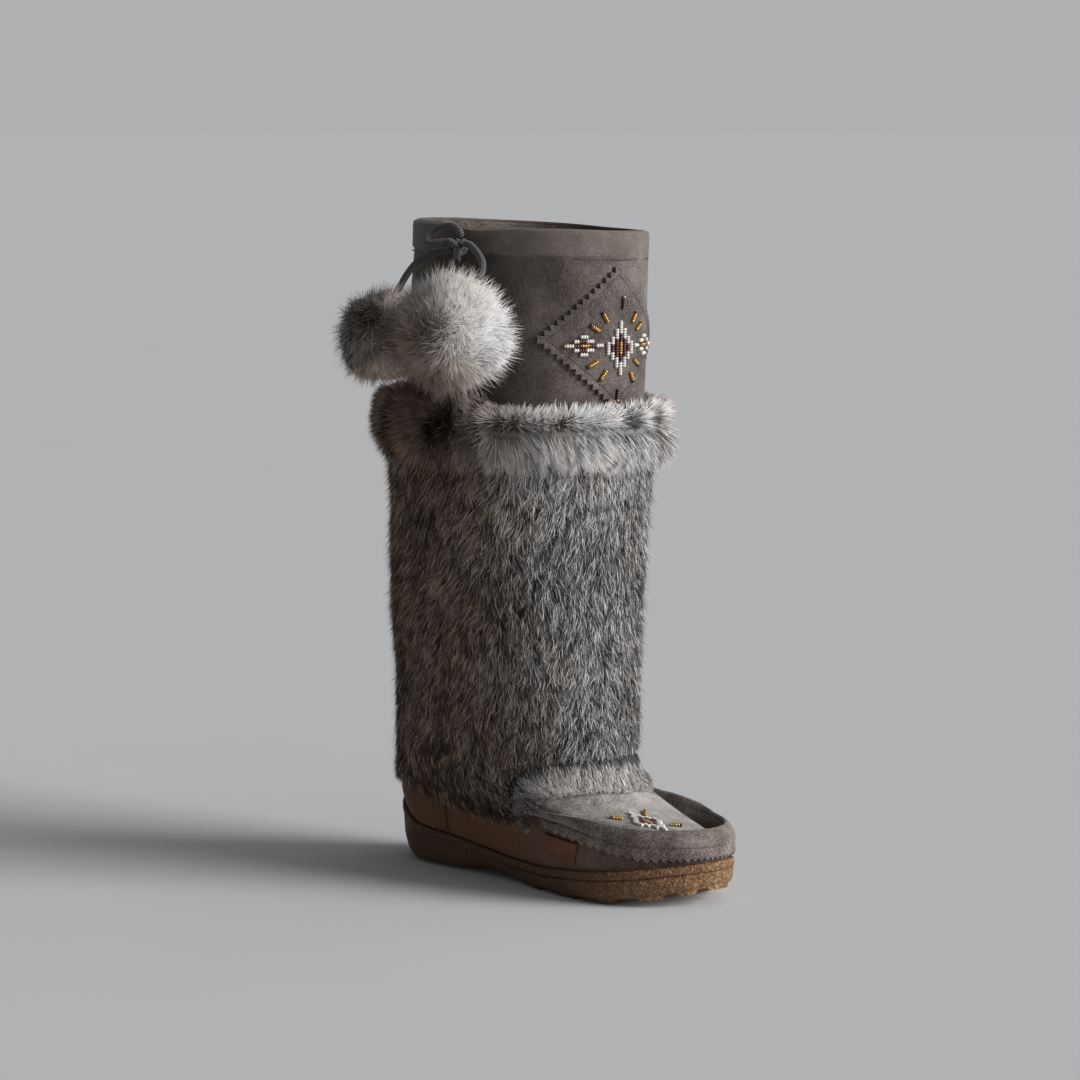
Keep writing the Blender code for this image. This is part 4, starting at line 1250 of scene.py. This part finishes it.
def coat_tones(turn, height, mark, rng, base, contrast, broad):
    """Tone and variety of hairs: patches, clumps and single hairs that differ, paler high up in front."""
    brown = brownness(turn)
    patch = noise(turn * 4.2, height / 46.0, 9) - 0.5
    small = noise(turn * 13, height / 13.0, 19) - 0.5
    tone = base + (0.10 - 0.20 * brown) * brown + broad * (patch + 0.9 * small) + 0.36 * (mark - 0.5)
    tone = tone + (1 - brown) * (0.20 * smooth_step(190, 270, height) - 0.04)
    tone = tone + rng.normal(0, 1, len(turn)) * contrast * (1.34 - 0.44 * brown)
    variety = 0.84 - 0.80 * brown + 0.35 * (noise(turn * 5, height / 30.0, 10) - 0.5)
    return tone, variety + rng.normal(0, 0.13, len(turn))


def combed(down, normal, lift, sideways):
    """Directions of hairs that lie down the coat, lifted off it by degrees and leaning sideways."""
    lean = tilted(down, normal, np.radians(lift))
    return unit(lean + unit(np.cross(down, normal)) * sideways[:, None])


def pelt(name, node, sections, closed, tone, variety):
    undercoat(name, node, "agouti_fur", sections, closed, tone, variety)


SLEEVE_HAIRS = 57000
SLEEVE_FOOT = 2.5
SLEEVE_PARTS = 3
FIRST_PART_TURN = 0.9
LOOSE_TURN = 0.9
PELT_RING = np.arange(176) * TAU / 176


def sleeve_hairs(part, rng):
    count = SLEEVE_HAIRS
    turn = np.mod(FIRST_PART_TURN + TAU / SLEEVE_PARTS * (part + rng.random(count)), TAU)
    hem = hem_height(turn)
    height = hem + SLEEVE_FOOT + (SLEEVE_TOP + 2.0 - hem - SLEEVE_FOOT) * rng.random(count)
    point, normal, down = skin_frame(turn, level_at(turn, height))
    loose = smooth_step(120, 190, height) * smooth_step(1.7, 0.9, np.abs(turn - LOOSE_TURN))
    fluff = 0.6 * smooth_step(250, 272, height) + loose
    length = np.minimum(8.0 + 5.5 * rng.random(count) + 3.5 * fluff, height - hem + 4.0 * rng.random(count))
    off, mark = clumps(rng, turn * SHAFT_RADIUS, 0.6, -height, 3.0, 6.0, 21 + part)
    parting, lap = seam_gap(turn, height)
    swirl = (noise(turn * 7.5, height / 20.0, 5) - 0.5) * 0.9 + (mark - 0.5) * 0.75 + 0.5 * lap
    guard = rng.random(count) < 0.07
    lift = 26 + 20 * (rng.random(count) - 0.5) + 16 * (mark - 0.5) + 8 * lap + 26 * guard + 9 * fluff
    lean = combed(down, normal, lift, swirl + off / length * 0.8 + rng.normal(0, 0.19, count))
    root = point + normal * (GAP + 2.0 + 1.6 * rng.random(count))[:, None]
    tone, variety = coat_tones(turn, height, mark, rng, 0.435, 0.33, 0.24)
    tone = tone - 0.55 * parting + 0.12 * lap
    width = np.where(guard, 0.22, 0.26 + 0.22 * rng.random(count))
    roll = rng.normal(0, 0.6, count)
    name = f"fur_sleeve_hair_{part}"
    hair_piece(name, root, lean, normal, length, width, tone, variety, roll, -0.16)


def make_sleeve():
    share = np.linspace(0, 1, 27)
    low = level_at(PELT_RING, hem_height(PELT_RING) + SLEEVE_FOOT)
    turn, level = net_between(PELT_RING, low, level_at(PELT_RING, SLEEVE_TOP), share)
    depth = 3.4 * np.sqrt(np.clip(share * 8, 0.05, 1)) + (noise(turn * 22, level * 3, 4) - 0.5) * 0.8
    brown = brownness(out_and_back(turn, turn))
    sections = layer_sections(turn, level, GAP + depth, GAP)
    pelt("fur_sleeve_undercoat", "fur_sleeve", sections, True, 0.42 - 0.1 * brown, 0.7 - 0.5 * brown)
    rng = np.random.default_rng(41)
    for part in range(SLEEVE_PARTS):
        sleeve_hairs(part, rng)


CUFF_HAIRS = 62000
CUFF_FROM = 271.0
CUFF_TOP = 308.0
CUFF_TOP_DROP = 7.5
CUFF_FOOT = CUFF_FROM + 10
CUFF_RADIUS = 88.0
# Heights on a roll with its top at a given height, and how far it stands off the shaft there
CUFF_SHAPE_TOP = 305.0
CUFF_SHAPE = (
    (270, 1.5),
    (276, 4.0),
    (284, 7.0),
    (291, 10.5),
    (297, 12.0),
    (302, 11.0),
    (306, 7.5),
    (309, 3.5),
    (311, 0.8),
)


def cuff_top(turn):
    """Height of the roll's top, lower at the front."""
    return CUFF_TOP - CUFF_TOP_DROP * creased(turn)


def cuff_depth(turn, height):
    places, depths = zip(*CUFF_SHAPE)
    depth = curve(places, depths, height + CUFF_SHAPE_TOP - cuff_top(turn))
    uneven = 1 + 0.25 * (noise(turn * 5, height / 20.0, 31) - 0.5)
    groove = np.exp(-(((height - CREASE) / 2.3) ** 2)) * creased(turn) * 5.5
    return np.maximum(depth * uneven - groove, 0.6)


def cuff_undercoat():
    share = np.linspace(0, 1, 25)
    turn = PELT_RING[:, None] + 0 * share
    height = CUFF_FROM + (cuff_top(turn) + 4.0 - CUFF_FROM) * share
    level = level_at(turn, height)
    brown = brownness(out_and_back(turn, turn))
    sections = layer_sections(turn, level, GAP + cuff_depth(turn, height), GAP)
    pelt("fur_cuff_undercoat", "fur_cuff", sections, True, 1.0 - 0.5 * brown, 0.75 - 0.6 * brown)


def cuff_comb(height, top, crease, ridge):
    """Degrees by which the roll's hairs stand up: down below its crease, up above it."""
    rise = (height - CUFF_FROM) / (top - CUFF_FROM)
    even = -70 + 100 * smooth_step(0.25, 1.0, rise)
    above = np.where(height > CREASE, -16 + 50 * smooth_step(CREASE, top, height), -76 + 10 * rise)
    return np.where(ridge, 42 + 9 * (height - top), even * (1 - crease) + above * crease)


def cuff_tones(turn, height, mark, rng, crease, parting):
    tone, variety = coat_tones(turn, height, mark, rng, 0.77, 0.12, 0.08)
    tone = np.maximum(tone, 0.76 * crease * (height > CREASE) + rng.normal(0, 0.07, len(turn)))
    # Painted shade in the roll's crease, where the fur parts.
    gap = np.exp(-(((height - CREASE) / 1.4) ** 2)) * crease
    return tone - 0.34 * gap - 0.5 * parting - 0.16 * brownness(turn), variety


def make_cuff():
    cuff_undercoat()
    rng = np.random.default_rng(43)
    count = CUFF_HAIRS
    turn = rng.random(count) * TAU
    crease = creased(turn)
    top = cuff_top(turn)
    height = CUFF_FOOT + (top - CUFF_FOOT) * rng.random(count) ** 0.85
    ridge = rng.random(count) < 0.14
    height = np.where(ridge, top + 3.6 * rng.random(count), height)
    point, normal, _ = skin_frame(turn, level_at(turn, height))
    root = point + normal * (GAP + cuff_depth(turn, height) * 0.85)[:, None]
    off, mark = clumps(rng, turn * CUFF_RADIUS, 0.8, -height, 5.2, 8.0, 61)
    angle = np.radians(cuff_comb(height, top, crease, ridge) + rng.normal(0, 14, count))
    length = 10.0 + 6.5 * rng.random(count) + 4.5 * smooth_step(300, 290, height)
    length = np.where(ridge, 0.62, 1.0) * length
    around = unit(np.cross(UPRIGHT, normal))
    swirl = (noise(turn * 6, height / 16.0, 15) - 0.5) * 1.1 + (mark - 0.5) * 0.5
    parting, lap = seam_gap(turn, height)
    sideways = around * (swirl - off / length * 0.5 - 0.4 * lap)[:, None]
    lean = unit(tilted(normal, UPRIGHT, angle) + sideways + rng.normal(0, 0.07, (count, 3)))
    tone, variety = cuff_tones(turn, height, mark, rng, crease, parting)
    width = 0.34 + 0.24 * rng.random(count)
    shade = unit(normal + UPRIGHT * (0.8 * np.sin(angle))[:, None])
    roll = rng.normal(0, 0.6, count)
    hair_piece("fur_cuff_hair", root, lean, shade, length, width, tone, variety, roll, -0.05)


TRIM_HAIRS = 21000
TRIM_TURN = 8 * STEP
TRIM_REACH = 9.8 * STEP
TRIM_RADIUS = 70.0


def trim_low(turn):
    """The strip's lower edge: arched over the near side of the vamp, lower on the far side."""
    place = (turn - math.pi) / STEP
    arch = 4.0 * np.exp(-(((place + 2.5) / 2.6) ** 2)) - 4.0 * smooth_step(1.0, 4.5, place)
    return np.minimum(curve(TRIM_SHARES, TRIM_LOWS, facing(turn)) + arch, hem_height(turn) - 1.0)


def trim_undercoat():
    edge = math.pi + np.linspace(-TRIM_TURN, TRIM_TURN, 65)
    share = np.linspace(0, 1, 9)
    low = level_at(edge, trim_low(edge) + 1.0)
    high = np.maximum(level_at(edge, hem_height(edge) - 1.5), low + 0.12)
    turn, level = net_between(edge, low, high, share)
    sections = layer_sections(turn, level, 1.5 + 4.0 * np.sin(math.pi * share), 1.2)
    flat = 0 * sections[..., 0]
    pelt("instep_fur_undercoat", "instep_fur", sections, False, flat + 0.42, flat + 0.7)


def make_instep_fur():
    trim_undercoat()
    rng = np.random.default_rng(47)
    count = TRIM_HAIRS
    turn = math.pi + TRIM_REACH * (2 * rng.random(count) - 1)
    drape = smooth_step(0.58, 0.40, facing(turn)) * (turn < math.pi)
    foot = trim_low(turn) - 5.0 * drape
    low = level_at(turn, foot + 1.5)
    high = np.maximum(level_at(turn, hem_height(turn) + 2.0), low + 0.3)
    share = rng.random(count)
    point, normal, down = skin_frame(turn, low + (high - low) * share)
    off, mark = clumps(rng, turn * TRIM_RADIUS, 0.5, share * 20, 3.6, 6.0, 71)
    length = np.minimum(7.5 + 4.0 * rng.random(count), point[:, 2] - foot + 2.0 + 2.0 * rng.random(count))
    lift = 26 + 20 * rng.random(count) + 8 * drape
    swirl = 0.45 * np.sin(turn - math.pi)
    lean = combed(down, normal, lift, off / length * 0.8 + swirl + rng.normal(0, 0.14, count))
    depth = 1.5 + 2.6 * np.sin(math.pi * share) + 4.5 * drape * (1 - share)
    root = point + normal * depth[:, None]
    tone = 0.75 - 0.22 * drape + 0.24 * (mark - 0.5) + rng.normal(0, 0.26, count)
    # Painted shade along the strip's top, under the overhanging hem of the sleeve's fur.
    tone = tone - 0.5 * smooth_step(0.82, 1.0, share)
    variety = 0.78 + rng.normal(0, 0.12, count)
    width = 0.34 + 0.2 * rng.random(count)
    roll = rng.normal(0, 0.5, count)
    hair_piece("instep_fur_hair", root, lean, normal, length, width, tone, variety, roll, -0.12)


POMPOM_HAIRS = 32000
POMPOM_CLUMPS = 420


def sphere_places(count):
    """Evenly spread directions, on a spiral from pole to pole."""
    step = np.arange(count) + 0.5
    height = 1 - 2 * step / count
    angle = step * math.pi * (3 - math.sqrt(5))
    across = np.sqrt(1 - height**2)
    return np.stack([across * np.cos(angle), across * np.sin(angle), height], -1)


def lumps(out, seed):
    """Uneven fullness of a ball of fur, about 0, smooth over its directions."""
    x, y, z = out[..., 0], out[..., 1], out[..., 2]
    return (
        0.40 * np.sin(3.1 * x + 1.7 * y + seed)
        + 0.35 * np.sin(3.7 * y - 2.3 * z + 2.0 * seed)
        + 0.25 * np.sin(5.3 * z + 2.9 * x + 3.0 * seed)
    )


def pompom_core(name, slot, centre, radius, coat, seed):
    turn, swing = np.meshgrid(np.arange(48) * TAU / 48, np.linspace(0.0, math.pi, 26), indexing="ij")
    flat = np.sin(swing)
    out = np.stack([flat * np.cos(turn), flat * np.sin(turn), np.cos(swing)], -1)
    size = radius * (0.84 + 0.09 * lumps(out, seed))
    sections = centre + out * size[..., None]
    return undercoat(f"{name}_core", name, slot, sections, True, *coat(out, 0.5, 0.0))


def pompom_comb(rng, out, whorl, mark, seed):
    """Directions along the ball in which its hairs lie: away from the whorl, wilder close to it."""
    away = unit(out * (out @ whorl)[:, None] - whorl)
    curls = np.stack([lumps(out * 1.7, seed + step) for step in (2, 5, 8)], -1)
    wild = 0.35 + 0.9 * smooth_step(0.55, 0.95, out @ whorl)
    away = away + (curls + rng.normal(0, 0.35, out.shape)) * wild[:, None] * 1.5
    away = unit(away - out * (away * out).sum(1)[:, None])
    return tilted(away, np.cross(out, away), 0.8 * lumps(out * 1.6, seed + 2) + 0.9 * (mark - 0.5))


def make_pompom(name, slot, centre, radius, whorl, coat, seed):
    """A ball of pelt: hair combed away from a whorl and lying over itself, with a soft edge."""
    rng = np.random.default_rng(seed)
    centre = np.array(centre)
    whorl = unit(np.array(whorl))
    core = pompom_core(name, slot, centre, radius, coat, seed)
    count = POMPOM_HAIRS
    heads = unit(sphere_places(POMPOM_CLUMPS) + rng.normal(0, 0.04, (POMPOM_CLUMPS, 3)))
    marks = rng.random(POMPOM_CLUMPS)
    out = unit(rng.normal(0, 1, (count, 3)))
    near = np.argmax(out @ heads.T, axis=1)
    mark = marks[near]
    root = centre + out * (radius * (0.80 + 0.09 * lumps(out, seed)))[:, None]
    away = pompom_comb(rng, out, whorl, mark, seed)
    guard = rng.random(count) < 0.12
    steep = np.where(guard, 1.0, 0.26 + 0.22 * mark)
    lean = out * steep[:, None] + away * 0.72 + (heads[near] - out) * 0.9
    lean = unit(lean + rng.normal(0, 0.16, (count, 3)))
    length = radius * np.where(guard, 0.48, 0.34) * (0.75 + 0.5 * rng.random(count))
    tone, variety = coat(out, mark, rng.normal(0, 1, count))
    tone = tone - 0.30 * smooth_step(0.96, 0.995, out @ whorl)
    width = np.where(guard, 0.16, 0.32) + 0.16 * rng.random(count)
    roll = rng.normal(0, 0.6, count)
    shade = unit(out + lean * 0.15)
    hairs = hair_piece(f"{name}_hair", root, lean, shade, length, width, tone, variety, roll, -0.10)
    return core, hairs


def front_coat(out, mark, spread):
    # Painted light on the side towards the window, and painted shade low on the far side, which is also made
    # browner.
    right = out @ np.array((0.696, 0.718, 0.0))
    low_side_shade_and_brown = np.clip(0.05 - 0.75 * right - 0.5 * out[..., 2], 0, 1)
    tone = 0.93 + 0.05 * right - 0.42 * low_side_shade_and_brown + 0.06 * (mark - 0.5) + 0.07 * spread
    variety = 0.85 - 0.95 * low_side_shade_and_brown + 0.10 * lumps(out, 4) + 0.08 * spread
    return tone, variety


def back_coat(out, mark, spread):
    low = np.clip(-out[..., 2], 0, 1)
    tone = 0.58 + 0.24 * (lumps(out, 7) > 0.25) + 0.14 * low + 0.25 * (mark - 0.5) + 0.15 * spread
    return tone, 0.50 - 0.30 * low + 0.12 * spread


# Beads

BEAD_LENGTH = 1.5
# Places along a bead and its thickness there, as shares
BEAD_SHAPE = ((0.0, 0.45), (0.04, 0.80), (0.24, 1.0), (0.76, 1.0), (0.96, 0.80), (1.0, 0.45))
BEAD_KINDS = (("w", "white", BEAD_WHITE), ("m", "maroon", BEAD_MAROON), ("g", "gold", BEAD_GOLD))


def bead_mesh(name, centres, axes, normals, radius, finish):
    """Short rounded beads, joined in one mesh, each lying along its axis."""
    side = unit(np.cross(axes, normals))
    up = unit(np.cross(side, axes))
    reach = axes * BEAD_LENGTH / 2
    spindles(name, centres - reach, centres + reach, side, up, BEAD_SHAPE, radius, 12, finish, 50.0)


def spread(words):
    """A row of bead letters from counts and letters, such as 5w3m5g."""
    return "".join(letter * int(count) for count, letter in re.findall(r"(\d+)(\D)", words))


def bead_row(words, middle, along, pitch):
    """Letters, flat places and angles of a straight row of beads centred on a place."""
    letters = spread(words)
    angle = math.radians(along)
    offsets = (np.arange(len(letters)) - (len(letters) - 1) / 2) * pitch
    places = [(middle[0] + math.cos(angle) * off, middle[1] + math.sin(angle) * off) for off in offsets]
    return [(letter, a, b, along) for letter, (a, b) in zip(letters, places)]


def bead_rows(motif, middle, along, step, pitch):
    """A motif's middle row, and each further row on both sides of it, a step away from the last."""
    beads = bead_row(motif[0], middle, along, pitch)
    for number, words in enumerate(motif[1:], 1):
        for off in (-number, number):
            beads += bead_row(words, (middle[0] + off * step[0], middle[1] + off * step[1]), along, pitch)
    return beads


def bead_ray(words, place, middle):
    """A short row of beads that points away from a middle."""
    away = math.degrees(math.atan2(place[1] - middle[1], place[0] - middle[0]))
    return bead_row(words, place, away, 1.6)


# Rows of beads from a motif's middle outwards, in counts and letters
DIAMOND = ("5w3m5g3m5w", "4w7m4w", "3w3m3w", "5w")
SIDE_MOTIF = ("1g3w3m3g3m3w", "2w3m3w", "3w")
PATCH_RAYS = (
    (4.0, 372.6),
    (0.2, 314.8),
    (-11.2, 364.0),
    (-18.6, 357.4),
    (15.6, 363.1),
    (21.6, 357.0),
    (-19.8, 334.7),
    (-12.0, 327.5),
    (19.3, 334.3),
    (13.9, 325.5),
)
RAY_MIDDLE = (1.9, 345.0)
STEEP_REACH = 5.0


def patch_beads():
    beads = bead_rows(DIAMOND, (1.9, 344.4), 90, (3.45, 0.0), 1.62)
    beads += bead_rows(SIDE_MOTIF, (-26.0, 346.5), 0, (0.0, 2.75), 1.66)
    beads += bead_rows(SIDE_MOTIF, (28.9, 345.3), 180, (0.0, 2.75), 1.66)
    for place in PATCH_RAYS:
        steep = abs(place[0] - RAY_MIDDLE[0]) < STEEP_REACH
        beads += bead_ray("4m1g" if steep else "4g1m", place, RAY_MIDDLE)
    return beads


def make_patch_beads():
    beads = patch_beads()
    arc, height, degrees = np.array([bead[1:] for bead in beads]).T
    angle = np.radians(degrees)
    centre = on_shaft(arc, height, 2.7)
    ahead = on_shaft(arc + np.cos(angle), height + np.sin(angle), 2.7)
    place_beads("patch", beads, centre, unit(ahead - centre), shaft_normal(arc, height), 1.22)


def place_beads(where, beads, centre, axis, normal, radius):
    letters = np.array([bead[0] for bead in beads])
    for letter, word, finish in BEAD_KINDS:
        chosen = letters == letter
        bead_mesh(f"{where}_beads_{word}", centre[chosen], axis[chosen], normal[chosen], radius, finish)


TOE_MIDDLE = (175.8, -8.1)
TOE_RAYS = ((161.2, -21.2), (189.1, 3.9), (163.6, 1.7))


def vamp_finder():
    """Turn, level and place of a fine net over the front of the upper."""
    turn, level = np.meshgrid(math.pi + np.linspace(-1.1, 1.1, 221), np.linspace(1.5, 11, 300), indexing="ij")
    return turn.ravel(), level.ravel(), skin(turn, level, 0).reshape(-1, 3)


def make_toe_beads():
    beads = bead_rows(DIAMOND, TOE_MIDDLE, 0, (0.0, 2.7), 1.62)
    for place in TOE_RAYS:
        beads += bead_ray("4g1m", place, TOE_MIDDLE)
    net_turn, net_level, net = vamp_finder()
    places = np.array([bead[1:3] for bead in beads])
    near = np.array([np.argmin(((net[:, :2] - place) ** 2).sum(1)) for place in places])
    turn = net_turn[near]
    level = net_level[near]
    normal = skin_frame(turn, level)[1]
    lift = 3.1 - sunk(turn, level)
    centre = skin(turn, level, lift)
    centre[:, :2] = places + normal[:, :2] * lift[:, None]
    angle = np.radians([bead[3] for bead in beads])
    flat = np.stack([np.cos(angle), np.sin(angle), 0 * angle], -1)
    axis = unit(flat - normal * (flat * normal).sum(1)[:, None])
    place_beads("toe", beads, centre, axis, normal, 1.2)


# Drawcord

CORD_RADIUS = 2.15
FRONT_STRAND = (
    (85.2, -77.6, 409.6),
    (92.4, -79.8, 408.8),
    (103.0, -83.6, 404.2),
    (111.0, -87.4, 398.9),
    (115.8, -92.5, 393.4),
    (116.6, -96.3, 389.4),
)
BACK_STRAND = (
    (73.8, -77.0, 405.6),
    (66.0, -77.8, 405.0),
    (58.6, -80.4, 403.6),
    (53.5, -85.6, 399.8),
    (48.5, -92.0, 391.0),
    (44.1, -98.7, 377.1),
)
LOOP = (
    (81.2, -77.0, 414.0),
    (79.3, -77.2, 417.6),
    (75.8, -77.5, 419.8),
    (71.6, -77.6, 420.4),
    (67.4, -77.6, 420.0),
    (63.2, -78.2, 419.0),
    (59.4, -80.0, 417.1),
    (57.5, -83.0, 414.4),
    (58.7, -86.0, 411.4),
    (62.4, -87.6, 409.6),
    (66.7, -87.3, 409.6),
    (70.8, -85.7, 410.2),
    (74.4, -83.4, 410.9),
)
TIP = ((81.6, -81.4, 405.8), (84.6, -84.0, 402.4), (86.8, -86.0, 398.8))
KNOT = (79.5, -76.2, 408.0)
KNOT_LEG = (LOOP[-1], (77.2, -82.4, 410.6), (80.0, -80.8, 408.0), (80.6, -79.6, 404.2), (80.2, -78.0, 402.6))
KNOT_HALF = (4.8, 4.4, 5.8)


def smooth_route(points, step=0.4):
    """Points along a Catmull-Rom curve through a few places, evenly spaced."""
    points = np.array(points, float)
    padded = np.vstack([2 * points[0] - points[1], points, 2 * points[-1] - points[-2]])
    line = []
    for k in range(len(points) - 1):
        a, b, c, d = padded[k : k + 4]
        t = np.linspace(0, 1, 40, endpoint=False)[:, None]
        square = (2 * a - 5 * b + 4 * c - d) * t**2
        cube = (3 * b - 3 * c + d - a) * t**3
        line.append(0.5 * (2 * b + (c - a) * t + square + cube))
    line = np.vstack([*line, points[-1:]])
    run = np.concatenate([[0], np.cumsum(np.linalg.norm(np.diff(line, axis=0), axis=1))])
    count = max(3, int(run[-1] / step))
    at = np.linspace(0, run[-1], count + 1)
    return np.stack([np.interp(at, run, line[:, axis]) for axis in range(3)], -1), run[-1]


def braid_tube(name, route, sides=24):
    """A braided tube along a route. Returns it with its line and length in metres."""
    line, length = smooth_route(route)
    along = unit(np.gradient(line, axis=0))
    side = np.cross(along[0], UPRIGHT)
    angle = np.arange(sides) * TAU / sides
    rings = []
    highlights = []
    for number, (point, way) in enumerate(zip(line, along)):
        side = unit(side - way * (side @ way))
        run = number / (len(line) - 1) * length
        weave_and_highlight = np.sin(4 * angle + run * 2.1) * np.sin(4 * angle - run * 2.1)
        end = min(number, len(line) - 1 - number)
        close = (0.55, 0.9)[end] if end < 2 else 1.0
        # Where the braid's strands stand high they get the painted highlight.
        highlights.append(smooth_step(0.1, 0.9, weave_and_highlight))
        size = CORD_RADIUS * close * (0.97 + 0.12 * weave_and_highlight)
        spokes = np.outer(np.cos(angle) * size, side) + np.outer(np.sin(angle) * size, np.cross(way, side))
        rings.append(point + spokes)
    piece = swept(name, rings, False, BRAID, 0)
    values = np.zeros(len(piece.data.vertices), np.float32)
    values[: len(highlights) * sides] = np.ravel(highlights)
    piece.data.attributes.new("weave_and_highlight", "FLOAT", "POINT").data.foreach_set("value", values)
    return piece, line * MM, length * MM


def make_knot():
    """An overhand knot: a braided tube that winds three times round and through itself."""
    angle = np.linspace(0, TAU, 110)
    reach = np.array(KNOT_HALF) - CORD_RADIUS
    x = np.sin(angle) + 2 * np.sin(2 * angle)
    z = np.cos(angle) - 2 * np.cos(2 * angle)
    y = -np.sin(3 * angle)
    route = np.stack([x / 3 * reach[0], y * reach[1] * 0.9, z / 3 * reach[2]], -1) + KNOT
    piece, _, _ = braid_tube("drawcord_knot_braid", route[:-1])
    leg, _, _ = braid_tube("drawcord_knot_leg_braid", KNOT_LEG)
    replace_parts(leg, "drawcord_knot")
    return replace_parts(piece, "drawcord_knot")


def frayed_end(line):
    """A spray of loose fibres at the end of a cord's line."""
    rng = np.random.default_rng(53)
    tip = line[-1] / MM
    way = unit(line[-1] - line[-4])
    count = 160
    spray = unit(way + rng.normal(0, 0.30, (count, 3)))
    root = tip + rng.normal(0, 0.8, (count, 3)) - way * 0.8
    length = 2.5 + 2.5 * rng.random(count)
    side = unit(np.cross(spray, rng.normal(0, 1, (count, 3))))
    points = np.stack([root - side * 0.14, root + side * 0.14, root + spray * length[:, None]], 1)
    faces = np.arange(count * 3).reshape(-1, 3)
    piece = mesh_piece("drawcord_tip_fibres", points.reshape(-1, 3), faces, BRAID, 0)
    return piece


def make_cords(front_pompom, back_pompom):
    knot = make_knot()
    tip, tip_line, _ = braid_tube("drawcord_tip_braid", TIP)
    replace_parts(tip, "drawcord_tip")
    fibres = frayed_end(tip_line)
    cords = (
        ("drawcord_front", FRONT_STRAND, list(front_pompom)),
        ("drawcord_back", BACK_STRAND, list(back_pompom)),
        ("drawcord_loop", LOOP, [knot, tip, fibres]),
    )
    for name, route, pieces in cords:
        piece, line, length = braid_tube(f"{name}_braid", route)
        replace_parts(piece, name)


# The whole boot

make_outsole()
make_upper()
make_insole()
make_band()
make_plug()
make_counter()
make_patch()
make_patch_stitches()
make_label()
make_hem_stitches()
make_sleeve()
make_cuff()
make_instep_fur()
front_ball = make_pompom(
    "pompom_front", "pale_fur", (105, -106.0, 356), 35.5, (0.42, -0.90, 0.05), front_coat, 59
)
back_ball = make_pompom(
    "pompom_back", "dark_fur", (41.5, -104.5, 352.0), 29.0, (0.15, -0.80, 0.60), back_coat, 61
)
make_patch_beads()
make_toe_beads()
make_cords(front_ball, back_ball)


# Camera, floor and light

LENS_MM = 121.67
CAMERA_PLACE = (1.7385, -1.6177, 0.49)
CAMERA_WAY = (-0.71276, 0.69169, -0.11632)
FLOOR_REACH = 60.0
KEY_WAY = (0.882, 0.469, 0.37)


def make_camera():
    data = bpy.data.cameras.new("photo_camera")
    data.lens = LENS_MM
    data.sensor_width = 36.0
    camera = bpy.data.objects.new("photo_camera", data)
    bpy.context.scene.collection.objects.link(camera)
    camera.location = CAMERA_PLACE
    camera.rotation_euler = Vector(CAMERA_WAY).to_track_quat("-Z", "Y").to_euler()
    bpy.context.scene.camera = camera


def make_floor():
    mesh = bpy.data.meshes.new("studio_floor")
    corners = [(x * FLOOR_REACH, y * FLOOR_REACH, 0) for x, y in ((-1, -1), (1, -1), (1, 1), (-1, 1))]
    mesh.from_pydata(corners, [], [(0, 1, 2, 3)])
    paint = Paint("studio_floor_looks", 0.95)
    tone = paint.noise(6.0, 2.0)
    paint.colour(paint.ramp(tone, (0.2, (0.690, 0.700, 0.715)), (0.8, (0.705, 0.715, 0.730))))
    mesh.materials.append(paint.material)
    floor = bpy.data.objects.new("studio_floor", mesh)
    bpy.context.scene.collection.objects.link(floor)


def make_light(name, direction, strength, spread_degrees):
    """A sun that shines from a direction."""
    data = bpy.data.lights.new(name, "SUN")
    data.energy = strength
    data.angle = math.radians(spread_degrees)
    light = bpy.data.objects.new(name, data)
    light.rotation_euler = (-Vector(direction)).to_track_quat("-Z", "Y").to_euler()
    bpy.context.scene.collection.objects.link(light)


def make_studio():
    """A pale room that is even at the horizon, and above it brighter towards the window side."""
    world = bpy.data.worlds.new("studio_world")
    world.use_nodes = True
    room = Graph(world.node_tree, "Generated")
    window = room.ramp(room.towards(WINDOW_SIDE), (0.0, (0.085, 0.085, 0.088)), (1.0, (0.62, 0.62, 0.62)))
    above = room.span(room.axis("Z"), 0.08, 0.30)
    background = world.node_tree.nodes["Background"]
    room.put(background.inputs["Color"], room.mix(above, (0.430, 0.436, 0.445), window))
    bpy.context.scene.world = world
    bpy.context.scene.view_settings.view_transform = "Standard"
    make_light("key_light", KEY_WAY, 3.5, 32.0)


make_camera()
make_floor()
make_studio()
